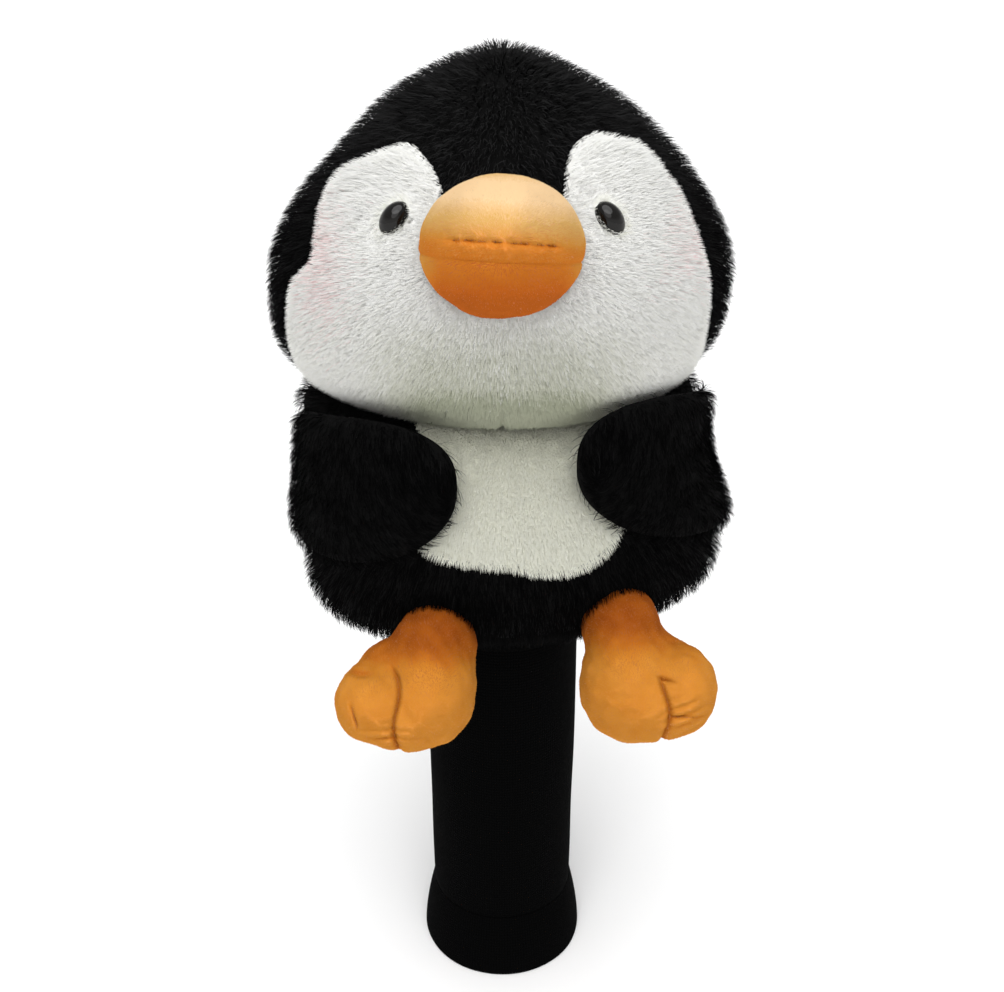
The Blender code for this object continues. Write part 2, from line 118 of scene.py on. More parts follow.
# How finely the skins are divided: points round each row, and rows
SKIN_SIDES, HEAD_ROWS, BODY_ROWS = 240, 156, 144
# How many times the ball that the beak and feet start from is divided
NAP_DETAIL = 7
# How close to its outline the cloth of a front panel stops
SEAM_GAP = 0.0014
# How deep in its neighbour a skin is left out
HIDDEN_DEPTH = 0.014
# The sock's way through the body's skin and pile: its height and the two radii
NECK_TOP = 0.19
NECK_SKIN, NECK_PILE = 0.0315, 0.0335
# Each pile's strands on a square metre, their length and their width
DENSITY = {"head": 1.1e6, "face": 4.6e6, "body": 0.9e6, "bib": 6.0e6, "wing": 1.1e6, "velboa": 14e6}
LENGTH = {"head": 0.0068, "face": 0.0041, "body": 0.0068, "bib": 0.0037, "wing": 0.0060,
          "velboa": 0.0008}
WIDTH = {"head": 0.00021, "face": 0.00017, "body": 0.00022, "bib": 0.00017, "wing": 0.00022,
         "velboa": 0.00020}
# How the strands of the short, dense plush lie
SHORT_PLUSH = {"lean": 0.42, "wild": 0.18, "soft": 0.98, "tuft": 0.04, "joints": 2, "roll": 0.5}
# The pink wash on each cheek: its middle, how wide and tall it is, and its strength
BLUSH = {"face_left": ((-0.0590, 0.3320), (0.0060, 0.0115), 0.62),
         "face_right": ((0.0620, 0.3390), (0.0075, 0.0075), 0.34)}
# How the inner pieces are drawn in: how deep they have to lie, from what height, and in what steps
FILLING_DEPTH, LINING_DEPTH = 0.0125, 0.0085
LINING_FROM = 0.20
DRAW_ROUNDS, DRAW_SHARE = 24, 0.985
# Into how many steps each change of shade in a nap is divided
NAP_STEPS = 3
# The camera, in metres, radians and millimetres
CAMERA_PLACE = (0, -0.4157, 0.4335)
CAMERA_PITCH = math.radians(63.8)
CAMERA_LENS = 41.2
CAMERA_SENSOR = 36
# Each light: where it shines towards, how far it spreads in degrees, and its strength
LIGHTS = {"top_light": ((0.0, 0.35, -1.0), 60, 2.45), "front_light": ((0.1, 1.0, -0.9), 45, 0.72)}
# Between which heights the sky's light changes, and its strength below and above them
SKY_CHANGE, SKY_STRENGTH = (0.20, 0.45), (1.02, 0.47)
FLOOR_REACH = 20.0
# Shades of each pile, as linear colours. The darker white shades are painted shade under the beak, on the
# chin and round the eyes, the lighter black ones mostly painted light on the crown, the palest beak shade
# a painted highlight, and the darker beak and foot shades partly their own orange and partly painted
# shade.
SHADES = {
    "black": [(0.0006, 0.0006, 0.0007), (0.0022, 0.0022, 0.0023), (0.0085, 0.0085, 0.0086),
              (0.0200, 0.0200, 0.0203)],
    "white": [(0.94, 0.94, 0.915), (0.89, 0.89, 0.835), (0.74, 0.745, 0.655), (0.60, 0.61, 0.50),
              (0.42, 0.44, 0.32)],
    "blush": [(0.92, 0.76, 0.75), (0.90, 0.66, 0.65)],
    "cream": [(0.88, 0.885, 0.77), (0.86, 0.86, 0.74), (0.82, 0.82, 0.69), (0.90, 0.905, 0.81)],
    "beak": [(0.80, 0.56, 0.31), (0.65, 0.385, 0.122), (0.62, 0.265, 0.043), (0.60, 0.180, 0.017),
             (0.52, 0.120, 0.010), (0.35, 0.075, 0.007)],
    "foot": [(0.61, 0.25, 0.035), (0.56, 0.205, 0.022), (0.48, 0.140, 0.012), (0.37, 0.092, 0.007),
             (0.27, 0.058, 0.004)],
}


def signed_power(value, exponent):
    return np.sign(value) * np.abs(value) ** exponent


def unit(vectors):
    return vectors / np.maximum(np.linalg.norm(vectors, axis=-1, keepdims=True), 1e-12)


def ramp(value, low, high):
    """0 below low, 1 above high, and smooth between."""
    t = np.clip((value - low) / (high - low), 0, 1)
    return t * t * (3 - 2 * t)


def hill(value, middle, width):
    """1 at the middle, falling smoothly to 0 on both sides."""
    return np.exp(-((value - middle) / width) ** 2)


def ripple(points, scale, seed, octaves=3):
    """A smooth noise from -1 to 1 at each point, with waves about as long as scale."""
    rng = np.random.default_rng(seed)
    total = np.zeros(len(points))
    weight = 0
    for octave in range(octaves):
        for _ in range(5):
            direction = unit(rng.normal(size=3)) * math.tau / (scale * 0.62 ** octave)
            total += np.sin(points @ direction + rng.uniform(0, math.tau)) * 0.6 ** octave
            weight += 0.6 ** octave * 0.55
    return np.clip(total / weight, -1, 1)


def transform(matrix, points):
    matrix = np.array(matrix)
    return points @ matrix[:3, :3].T + matrix[:3, 3]


# Materials


class Nodes:
    """A small helper to wire a material's nodes."""

    def __init__(self, name, roughness=0.8, sheen=0.0, colour=(0.8, 0.8, 0.8), specular=0.3):
        self.material = bpy.data.materials.new(name)
        self.material.use_nodes = True
        self.tree = self.material.node_tree
        self.shader = self.tree.nodes["Principled BSDF"]
        self.shader.inputs["Base Color"].default_value = (*colour, 1)
        self.shader.inputs["Roughness"].default_value = roughness
        self.shader.inputs["Sheen Weight"].default_value = sheen
        self.shader.inputs["Sheen Roughness"].default_value = 0.5
        self.shader.inputs["Specular IOR Level"].default_value = specular
        self.place = self.tree.nodes.new("ShaderNodeTexCoord").outputs["Object"]

    def add(self, kind, inputs=(), **settings):
        node = self.tree.nodes.new(kind)
        for key, value in settings.items():
            setattr(node, key, value)
        for key, value in dict(inputs).items():
            if isinstance(value, bpy.types.NodeSocket):
                self.tree.links.new(value, node.inputs[key])
            else:
                node.inputs[key].default_value = value
        return node

    def noise(self, scale, detail=2.0, roughness=0.5, place=None):
        return self.add("ShaderNodeTexNoise", {"Vector": place or self.place, "Scale": scale,
                                               "Detail": detail, "Roughness": roughness}).outputs["Fac"]

    def maths(self, operation, first, second=0.0):
        return self.add("ShaderNodeMath", {0: first, 1: second}, operation=operation).outputs[0]

    def blend(self, factor, first, second):
        """A colour between two colours."""
        mix = self.add("ShaderNodeMix", data_type="RGBA")
        for index, value in ((0, factor), (6, first), (7, second)):
            if isinstance(value, bpy.types.NodeSocket):
                self.tree.links.new(value, mix.inputs[index])
            else:
                mix.inputs[index].default_value = (*value, 1) if index else value
        return mix.outputs[2]

    def colour(self, socket):
        self.tree.links.new(socket, self.shader.inputs["Base Color"])

    def bump(self, height, distance, strength=1.0):
        made = self.add("ShaderNodeBump", {"Height": height, "Distance": distance, "Strength": strength})
        self.tree.links.new(made.outputs["Normal"], self.shader.inputs["Normal"])


def velboa(name, light, dark, scale=55.0, above=None, rise=(0.0, 1.0)):
    """A very short soft pile: patches where the pile lies another way, over a fine grain.

    Over the heights in rise, the colours change to the one called above, a painted change of light with
    height.
    """
    nodes = Nodes(name, roughness=0.82, sheen=0.25)
    if above:
        height = nodes.add("ShaderNodeSeparateXYZ", {0: nodes.place}).outputs[2]
        share = nodes.add("ShaderNodeMapRange", {0: height, 1: rise[0], 2: rise[1]}).outputs[0]
        light = nodes.blend(share, light, above)
        dark = nodes.blend(share, dark, tuple(0.85 * part for part in above))
    patches = nodes.noise(scale, 3.0, 0.55)
    grain = nodes.noise(2600.0, 2.0, 0.6)
    spread = nodes.add("ShaderNodeMapRange", {0: patches, 1: 0.35, 2: 0.68, 3: 0.0, 4: 1.0}).outputs[0]
    base = nodes.blend(spread, dark, light)
    nodes.colour(nodes.blend(nodes.maths("MULTIPLY", grain, 0.25), base, dark))
    nodes.bump(nodes.maths("ADD", grain, nodes.maths("MULTIPLY", nodes.noise(700.0), 0.8)), 0.00006, 0.7)
    return nodes.material


def backing(name, light, dark):
    """The cloth that a pile stands on, mottled as the roots of the pile are."""
    nodes = Nodes(name, roughness=0.95, specular=0.1)
    nodes.colour(nodes.blend(nodes.noise(900.0, 3.0, 0.6), dark, light))
    nodes.bump(nodes.noise(1500.0, 2.0, 0.6), 0.0006, 0.8)
    return nodes.material


def knit(name, light, dark, ribs, rows_per_metre):
    """A rib knit round Z: ribs of loops, each leaning one way and then the other."""
    nodes = Nodes(name, roughness=0.95, specular=0.02)
    split = nodes.add("ShaderNodeSeparateXYZ", {0: nodes.place})
    angle = nodes.maths("ARCTAN2", split.outputs[0], split.outputs[1])
    rib = nodes.maths("SINE", nodes.maths("MULTIPLY", angle, float(ribs)))
    lean = nodes.maths("MULTIPLY", nodes.maths("ABSOLUTE", rib), 1.6)
    rows = nodes.maths("MULTIPLY", split.outputs[2], rows_per_metre * math.tau)
    loops = nodes.maths("SINE", nodes.maths("ADD", rows, lean))
    height = nodes.maths("ADD", nodes.maths("MULTIPLY", nodes.maths("ABSOLUTE", rib), 0.7),
                         nodes.maths("MULTIPLY", loops, 0.3))
    height = nodes.maths("ADD", height, nodes.maths("MULTIPLY", nodes.noise(1800.0), 0.35))
    # The colour follows the height, darker in the hollows between ribs and loops: painted shade.
    nodes.colour(nodes.blend(nodes.add("ShaderNodeMapRange", {0: height, 1: 0.0, 2: 1.2}).outputs[0],
                             dark, light))
    nodes.bump(height, 0.0004, 0.8)
    return nodes.material


def thread_finish(name, light, dark):
    """Twisted sewing thread."""
    nodes = Nodes(name, roughness=0.6, sheen=0.1)
    twist = nodes.add("ShaderNodeTexWave", {"Vector": nodes.place, "Scale": 900.0, "Distortion": 1.5},
                      bands_direction="DIAGONAL").outputs["Fac"]
    # The twist's bands are darker where the bump is low: painted shade in the grooves.
    nodes.colour(nodes.blend(twist, dark, light))
    nodes.bump(twist, 0.0002, 0.6)
    return nodes.material


def fibre(name, light, dark, scale, depth):
    """Loose crimped fibre, or fleece at a finer scale."""
    nodes = Nodes(name, roughness=0.95, sheen=0.15)
    warp = nodes.add("ShaderNodeTexNoise", {"Vector": nodes.place, "Scale": scale * 0.4})
    mixed = nodes.add("ShaderNodeVectorMath", {0: nodes.place, 1: warp.outputs["Color"]}, operation="ADD")
    strands = nodes.noise(scale, 5.0, 0.7, mixed.outputs[0])
    # The colour follows the fibres' height, darker in the hollows: painted shade.
    nodes.colour(nodes.blend(strands, dark, light))
    nodes.bump(strands, depth, 0.9)
    return nodes.material


def moulded(name, light, dark, roughness, specular=0.5):
    """Moulded plastic with a slight unevenness in its surface."""
    nodes = Nodes(name, roughness=roughness, specular=specular)
    nodes.colour(nodes.blend(nodes.noise(120.0, 2.0), dark, light))
    nodes.bump(nodes.noise(90.0), 0.00004, 0.3)
    return nodes.material


def pile_finishes(kinds, between=1):
    """One material for each shade of a pile. A strand is far too fine to show a pattern of its own."""
    made = []
    for kind in kinds:
        colours = np.array(SHADES[kind])
        steps = np.linspace(0, len(colours) - 1, (len(colours) - 1) * between + 1)
        levels = np.stack([np.interp(steps, range(len(colours)), part) for part in colours.T], 1)
        for index, colour in enumerate(levels.tolist()):
            name = f"{kind}_pile_{index + 1}"
            material = bpy.data.materials.get(name)
            if material is None:
                sheen = 0.1 if kind in ("white", "blush", "cream") else 0.0
                specular = 0.03 if kind == "black" else 0.08
                material = Nodes(name, roughness=0.9, sheen=sheen, colour=colour,
                                 specular=specular).material
            made.append(material)
    return made


# Meshes


def placed(name, data):
    """A new object in the scene."""
    made = bpy.data.objects.new(name, data)
    bpy.context.scene.collection.objects.link(made)
    return made


def shaped(name, points, faces, finish, body, nodes):
    """Make a piece that rides on a body and stands for some CAD nodes."""
    mesh = bpy.data.meshes.new(name)
    mesh.from_pydata([tuple(point) for point in points], [], faces)
    mesh.materials.append(finish)
    mesh.shade_smooth()
    mesh.update()
    made = placed(name, mesh)
    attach(made, body)
    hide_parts(*nodes)
    return made


def grid_faces(rows, columns, loop_rows=False):
    """Quads over a grid of points whose rows close on themselves."""
    faces = []
    for row in range(rows if loop_rows else rows - 1):
        there = (row + 1) % rows
        for column in range(columns):
            beside = (column + 1) % columns
            faces.append((row * columns + column, row * columns + beside, there * columns + beside,
                          there * columns + column))
    return faces


def capped_faces(rows, columns):
    """Triangles over a grid of closed rows and out to two more points, one past each end of the grid."""
    faces = []
    for a, b, c, d in grid_faces(rows, columns):
        faces += [(a, b, c), (a, c, d)]
    first_end, last_row = rows * columns, (rows - 1) * columns
    for column in range(columns):
        beside = (column + 1) % columns
        faces.append((first_end, beside, column))
        faces.append((first_end + 1, last_row + column, last_row + beside))
    return np.array(faces)


def section_shares(shape, offset, inset):
    """How wide and how deep a bulging shape is above or below its middle, as shares of its most."""
    up = offset > 0
    level = np.minimum(np.abs(offset) / (np.where(up, shape["up"], shape["down"]) - inset), 1)
    bends = [np.where(up, shape[way + "_up"], shape[way + "_down"]) for way in ("width", "depth")]
    return [(1 - level ** bend) ** (1 / bend) for bend in bends]


def blob_point(shape, azimuth, height, inset=0.0, section_height=None):
    """Points of a bulging shape. Azimuth runs from the front towards +X."""
    offset = np.asarray(height if section_height is None else section_height) - shape["z"]
    wide, deep = section_shares(shape, offset, inset)
    reach = np.where(np.cos(azimuth) > 0, shape["front"], shape["back"])
    bend = 2 / shape["section"]
    x = (shape["width"] - inset) * wide * signed_power(np.sin(azimuth), bend)
    y = shape["y"] - (reach - inset) * deep * signed_power(np.cos(azimuth), bend)
    return np.stack(np.broadcast_arrays(x, y, height), -1)


def blob_skin(shape, inset, sides, steps):
    """A fine skin of a bulging shape, as points and triangles."""
    rise = np.linspace(-math.pi / 2, math.pi / 2, steps + 2)[1:-1]
    height = np.where(rise > 0, shape["z"] + np.sin(rise) * (shape["up"] - inset),
                      shape["z"] + np.sin(rise) * (shape["down"] - inset))
    azimuth = np.arange(sides) * math.tau / sides
    points = blob_point(shape, azimuth[None, :], height[:, None], inset).reshape(-1, 3)
    low = (0, shape["y"], shape["z"] - shape["down"] + inset)
    high = (0, shape["y"], shape["z"] + shape["up"] - inset)
    return np.vstack([points, [low, high]]), capped_faces(steps, sides)


def sag(local):
    """The body's filling has settled: in its own frame, it is fuller low down than at the shoulders."""
    levels = [0.160, 0.178, 0.188, 0.200, 0.212, 0.225, 0.245, 0.262, 0.285]
    left = [0.003, 0.0062, 0.0075, 0.0058, 0.0028, 0.0014, -0.0026, -0.0034, 0.0]
    right = [0.000, 0.0000, 0.0058, 0.0118, 0.0112, 0.0068, -0.0035, -0.0068, -0.0020]
    moved = local.copy()
    height = local[..., 2]
    grow = np.where(local[..., 0] < 0, np.interp(height, levels, left), np.interp(height, levels, right))
    moved[..., 0] += np.sign(local[..., 0]) * grow * ramp(np.abs(local[..., 0]), 0.015, 0.075)
    return moved


def shoulders(local):
    """The body swells out above the wings to meet the cheeks."""
    moved = local.copy()
    swell = 0.0090 * hill(local[:, 2], 0.271, 0.0105)
    moved[:, 0] += np.sign(local[:, 0]) * swell * ramp(np.abs(local[:, 0]), 0.035, 0.070)
    return moved


def settle_head(points):
    """The head's filling is a little uneven: fuller in one cheek and flatter above it."""
    moved = points.copy()
    change = 0.0052 * hill(points[:, 2], 0.290, 0.024)
    change -= 0.0036 * hill(points[:, 2], 0.366, 0.016)
    moved[:, 0] -= change * ramp(-points[:, 0], 0.02, 0.07)
    return moved


def inside_blob(shape, points, inset=0.0):
    """How far inside a bulging shape each point is: under 1 is inside."""
    wide, deep = section_shares(shape, points[:, 2] - shape["z"], inset)
    reach = np.where(points[:, 1] < shape["y"], shape["front"], shape["back"]) - inset
    wide = np.maximum(wide, 1e-6) * (shape["width"] - inset)
    deep = np.maximum(deep, 1e-6) * reach
    bend = shape["section"]
    return np.abs(points[:, 0] / wide) ** bend + np.abs((points[:, 1] - shape["y"]) / deep) ** bend


def smooth_outline(outline, steps=6):
    """A closed smooth curve through an outline in millimetres, in metres."""
    count = len(outline)
    points = []
    for index in range(count):
        before, here, there, after = (np.array(outline[(index + k) % count], float) for k in (-1, 0, 1, 2))
        for step in range(steps):
            t = step / steps
            points.append((2 * here + (there - before) * t
                           + (2 * before - 5 * here + 4 * there - after) * t ** 2
                           + (3 * here - before - 3 * there + after) * t ** 3) / 2000)
    return np.array(points)


def in_outline(outline, x, z):
    """Which points are inside a closed outline drawn from the front."""
    inside = np.zeros(len(x), bool)
    for (x0, z0), (x1, z1) in zip(outline, np.roll(outline, -1, 0)):
        crosses = (z0 > z) != (z1 > z)
        inside ^= crosses & (x < (x1 - x0) * (z - z0) / (z1 - z0 if z1 != z0 else 1e-12) + x0)
    return inside


def to_outline(outline, x, z):
    """How far each place is from an outline."""
    nearest = np.full(len(x), 1.0)
    for x0, z0 in outline:
        nearest = np.minimum(nearest, (x - x0) ** 2 + (z - z0) ** 2)
    return np.sqrt(nearest)


def in_panel(outline, points, seed, left_out):
    """Which points are in a panel let into the front, whose edge wanders a little."""
    wander = 0.0003 * ripple(points, 0.006, seed)
    inside = in_outline(outline, points[:, 0] + wander, points[:, 2] + wander)
    return inside & (points[:, 1] < SEAM_Y) & ~np.asarray(left_out)


def smooth_normals(points, faces):
    a, b, c = (points[faces[:, k]] for k in range(3))
    flat = np.cross(b - a, c - a)
    normals = np.zeros_like(points)
    for k in range(3):
        np.add.at(normals, faces[:, k], flat)
    return unit(normals)


def scatter(points, faces, normals, per_square_metre, rng):
    """Random places over a skin, with the normal at each."""
    a, b, c = (points[faces[:, k]] for k in range(3))
    areas = np.linalg.norm(np.cross(b - a, c - a), axis=1) / 2
    count = int(areas.sum() * per_square_metre)
    chosen = rng.choice(len(faces), count, p=areas / areas.sum())
    u, v = rng.random(count), rng.random(count)
    over = u + v > 1
    u[over], v[over] = 1 - u[over], 1 - v[over]
    weights = np.stack([1 - u - v, u, v], 1)
    roots = sum(points[faces[chosen, k]] * weights[:, k:k + 1] for k in range(3))
    directions = unit(sum(normals[faces[chosen, k]] * weights[:, k:k + 1] for k in range(3)))
    return roots, directions


def pile(name, roots, normals, comb, length, width, shade, materials, rng, lean=0.5, wild=0.25,
         soft=0.75, tuft=0.35, joints=3, roll=0.9):
    """A pile of tapering strands.

    Each stands on its root, leans towards comb by about lean radians and bends over further at its
    tip. wild is how far single strands stray, and tuft how far neighbours stray together. Each is
    shaded mostly by the skin's normal, as a soft pile scatters light.
    """
    count = len(roots)
    tangent = unit(comb - normals * np.sum(comb * normals, 1, keepdims=True))
    side = np.cross(normals, tangent)
    swing = tuft * ripple(roots, 0.011, 5) + wild * rng.normal(size=count)
    tangent, side = (tangent * np.cos(swing)[:, None] + side * np.sin(swing)[:, None],
                     side * np.cos(swing)[:, None] - tangent * np.sin(swing)[:, None])
    angle = np.clip(lean + 0.6 * tuft * ripple(roots, 0.014, 9) + 0.6 * wild * rng.normal(size=count),
                    -0.3, 1.35)
    shares = {2: (0.55, 0.45), 3: (0.4, 0.35, 0.25)}[joints]
    widths = {2: (1.0, 0.85, 0.0), 3: (1.0, 0.95, 0.62, 0.0)}[joints]
    points = [roots]
    for step, share in enumerate(shares):
        bent = np.minimum(angle + 0.3 * step, 1.5)
        along = normals * np.cos(bent)[:, None] + tangent * np.sin(bent)[:, None]
        points.append(points[-1] + along * (length * share)[:, None])
    axis = unit(points[-2] - points[0])
    flat = unit(np.cross(axis, normals) + 1e-9)
    up = np.cross(flat, axis)
    rolled = rng.uniform(-roll, roll, count)
    across = flat * np.cos(rolled)[:, None] + up * np.sin(rolled)[:, None]
    half = (np.broadcast_to(width, count) / 2)[:, None]
    rows = []
    for point, share in zip(points[:-1], widths):
        rows += [point - across * half * share, point + across * half * share]
    rows.append(points[-1])
    vertices = np.stack(rows, 1).reshape(-1, 3)
    corners = [corner + 2 * k for k in range(joints - 1) for corner in (0, 1, 3, 2)]
    corners += [2 * joints - 2, 2 * joints - 1, 2 * joints]
    sizes = [4] * (joints - 1) + [3]
    loops = (np.arange(count)[:, None] * len(rows) + np.array(corners)).ravel()
    starts = (np.arange(count)[:, None] * len(corners) + np.arange(joints) * 4).ravel()
    mesh = bpy.data.meshes.new(name)
    mesh.vertices.add(len(vertices))
    mesh.vertices.foreach_set("co", vertices.astype(np.float32).ravel())
    mesh.loops.add(len(loops))
    mesh.loops.foreach_set("vertex_index", loops.astype(np.int32))
    mesh.polygons.add(len(starts))
    mesh.polygons.foreach_set("loop_start", starts.astype(np.int32))
    mesh.polygons.foreach_set("loop_total", np.tile(sizes, count).astype(np.int32))
    mesh.polygons.foreach_set("material_index", np.repeat(shade, joints).astype(np.int32))
    for material in materials:
        mesh.materials.append(material)
    mesh.update(calc_edges=True)
    mesh.shade_smooth()
    shading = unit(normals * soft + 0.15 * tangent + rng.normal(size=(count, 3)) * (1 - soft) * 0.7)
    mesh.normals_split_custom_set_from_vertices(np.repeat(shading, len(rows), 0).tolist())
    return mesh


def fur_piece(name, nodes, body, skin, pile_mesh, cloth):
    """A panel's backing skin, with its pile as a piece that goes with it."""
    points, faces = skin
    made = shaped(name, points, [tuple(face) for face in faces], cloth, body, nodes)
    fuzz = placed(name + "_pile", pile_mesh)
    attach(fuzz, body)
    return made


def velboa_piece(name, nodes, body, skin, pose, finish, shades, tone, comb, rng):
    """A piece of velboa in its own frame: a skin under a very short pile, shaded by tone."""
    points, faces = skin
    roots, out = scatter(points, faces, smooth_normals(points, faces), DENSITY["velboa"], rng)
    level = np.floor(NAP_STEPS * tone(roots) + rng.random(len(roots)))
    shade = np.clip(level, 0, len(shades) - 1).astype(int)
    length = LENGTH["velboa"] * rng.uniform(0.7, 1.2, len(roots))
    mesh = pile(name + "_pile", roots, out, np.tile(comb, (len(roots), 1)), length, WIDTH["velboa"],
                shade, shades, rng, lean=0.9, wild=0.15, soft=0.98, tuft=0.1, joints=2, roll=0.4)
    mesh.transform(pose)
    return fur_piece(name, nodes, body, (transform(pose, points), faces), mesh, finish)


def tube(name, lines, radius, material, body, nodes):
    """Threads of one radius, each along its own line of points."""
    points, faces = [], []
    for line in lines:
        line = np.asarray(line, float)
        along = unit(np.gradient(line, axis=0))
        side = unit(np.cross(along, [0.13, 0.21, 0.97]))
        over = np.cross(side, along)
        angle = np.arange(8) * math.tau / 8
        thick = radius * np.minimum(1, 0.35 + np.minimum(np.arange(len(line)), np.arange(len(line))[::-1]))
        rings = (line[:, None] + thick[:, None, None] * (side[:, None] * np.cos(angle)[None, :, None]
                                                         + over[:, None] * np.sin(angle)[None, :, None]))
        start = sum(len(part) for part in points)
        points.append(rings.reshape(-1, 3))
        faces += [tuple(start + corner for corner in face) for face in grid_faces(len(line), 8)]
        faces.append(tuple(start + k for k in range(7, -1, -1)))
        faces.append(tuple(start + (len(line) - 1) * 8 + k for k in range(8)))
    return shaped(name, np.vstack(points), faces, material, body, nodes)


def ball(detail):
    """Directions spread evenly all round, and the triangles between them."""
    sphere = bmesh.new()
    bmesh.ops.create_icosphere(sphere, subdivisions=detail, radius=1.0)
    points = unit(np.array([vertex.co for vertex in sphere.verts]))
    faces = np.array([[vertex.index for vertex in face.verts] for face in sphere.faces])
    sphere.free()
    return points, faces


def part_of(points, faces, keep):
    """The faces whose middles are kept, with only the points that they use."""
    faces = faces[keep]
    used, new = np.unique(faces, return_inverse=True)
    return points[used], new.reshape(-1, 3)


# The eyes' places


def eye_frame(side):
    """The eye's place on the face, with its Z axis straight out of the fur."""
    x, height = EYE_PLACE

    def surface(x_at, z_at):
        widest = blob_point(HEAD, math.pi / 2, z_at)[0]
        return Vector(blob_point(HEAD, math.asin(min(x_at / widest, 1) ** (HEAD["section"] / 2)), z_at))

    middle = surface(x, height)
    step = 0.001
    outwards = (surface(x, height + step) - middle).cross(surface(x + step, height) - middle)
    outwards.normalize()
    if outwards.y > 0:
        outwards = -outwards
    outwards.rotate(Matrix.Rotation(EYE_TURN, 3, "Z"))
    middle.x *= side
    outwards.x *= side
    return Matrix.Translation(middle) @ outwards.to_track_quat("Z", "Y").to_matrix().to_4x4()


EYES = {"left": eye_frame(-1), "right": eye_frame(1)}


def from_eye(points):
    """How far each point is outside the rim of the nearer eye, and the way out from that eye."""
    nearest, away = np.full(len(points), 1.0), np.zeros((len(points), 3))
    for label, place in EYES.items():
        local = transform(place.inverted(), points)
        lean = EYE_TILT[label]
        across = local[:, 0] * math.cos(lean) - local[:, 1] * math.sin(lean)
        along = local[:, 0] * math.sin(lean) + local[:, 1] * math.cos(lean)
        gap = (np.hypot(across / EYE_SIZES[0], along / EYE_SIZES[1]) - 1) * EYE_SIZES[0]
        closer = gap < nearest
        nearest = np.where(closer, gap, nearest)
        away = np.where(closer[:, None], points - np.array(place.translation), away)
    return nearest, unit(away)


def in_beak(points, grow):
    local = transform(BEAK_POSE.inverted(), points)
    return (local / (np.array(BEAK_SIZES) + grow)) ** 2 @ np.ones(3) < 1


# The head


def face_pile(name, roots, out, at_edge, near_eye, off_eye, finishes, rng):
    """The face's short plush, combed away from the beak and eyes.

    Its shades are darker under the beak, on the chin and round the eyes, as painted shade, and pink on the
    cheeks.
    """
    count = len(roots)
    away = np.stack([roots[:, 0] * 1.2, np.zeros(count), (roots[:, 2] - 0.350) * 0.9 - 0.012], 1)
    beside = (1 - ramp(near_eye, 0.0, 0.005))[:, None] * 0.5
    away = unit(away) * (1 - beside) + off_eye * beside
    length = LENGTH["face"] * (0.6 + 0.4 * ramp(near_eye, 0.0, 0.006))
    length = length * rng.uniform(0.8, 1.12, count)
    length *= at_edge * (1 - 0.4 * hill(roots[:, 0], 0, 0.0012))
    (x, z), (wide, tall), strength = BLUSH[name]
    wash = strength * np.exp(-((roots[:, 0] - x) / wide) ** 2 / 2
                             - ((roots[:, 2] - z) / tall) ** 2 / 2)
    pick = rng.random(count)
    aside, high = np.abs(roots[:, 0]), roots[:, 2]
    # Painted shade: darker, greyer shades under the beak and on the chin.
    painted_muzzle_shade = ramp(0.335 - high, 0, 0.035) * (1 - 0.75 * ramp(aside, 0.015, 0.055))
    painted_muzzle_shade += 0.8 * ramp(0.303 - high, 0, 0.015) * (1 - ramp(aside, 0.02, 0.05))
    shade = np.minimum(np.floor(painted_muzzle_shade * 2.6 + rng.random(count) * 1.3), 4).astype(int)
    # Painted shade: darker shades round the eyes.
    rim = np.floor((1 - ramp(near_eye, 0.0, 0.0024)) * 1.5 + rng.random(count) * 0.9).astype(int)
    shade = np.maximum(shade, np.clip(rim, 0, 3))
    shade = np.where(pick < wash * 0.9, 5, shade)
    shade = np.where(pick < wash * 0.4, 6, shade)
    return pile(name + "_pile", roots, out, away, length, WIDTH["face"], shade, finishes, rng,
                **SHORT_PLUSH)


def head_pile(name, roots, out, at_edge, finishes, rng):
    """The head's long black fur, combed down from the peak, with lighter shades higher up as painted light
    from above.
    """
    count = len(roots)
    at_cheek = ramp(np.abs(roots[:, 0]), 0.055, 0.063)
    down = np.stack([roots[:, 0] * 2, roots[:, 1] * 2, np.full(count, -0.05)], 1)
    length = LENGTH["head"] * rng.uniform(0.72, 1.1, count)
    length = length * (1 - 0.25 * ramp(roots[:, 2], 0.375, 0.396))
    length *= at_edge + (1 - at_edge) * at_cheek
    # Painted light: lighter black shades towards the crown.
    high = ramp(roots[:, 2], 0.330, 0.375)
    shade = np.minimum(np.floor(high * 2.1 + rng.random(count) * 2.2), 3).astype(int)
    return pile(name + "_pile", roots, out, down, length, WIDTH["head"], shade, finishes, rng,
                lean=0.62, wild=0.22, soft=0.85, tuft=0.12)


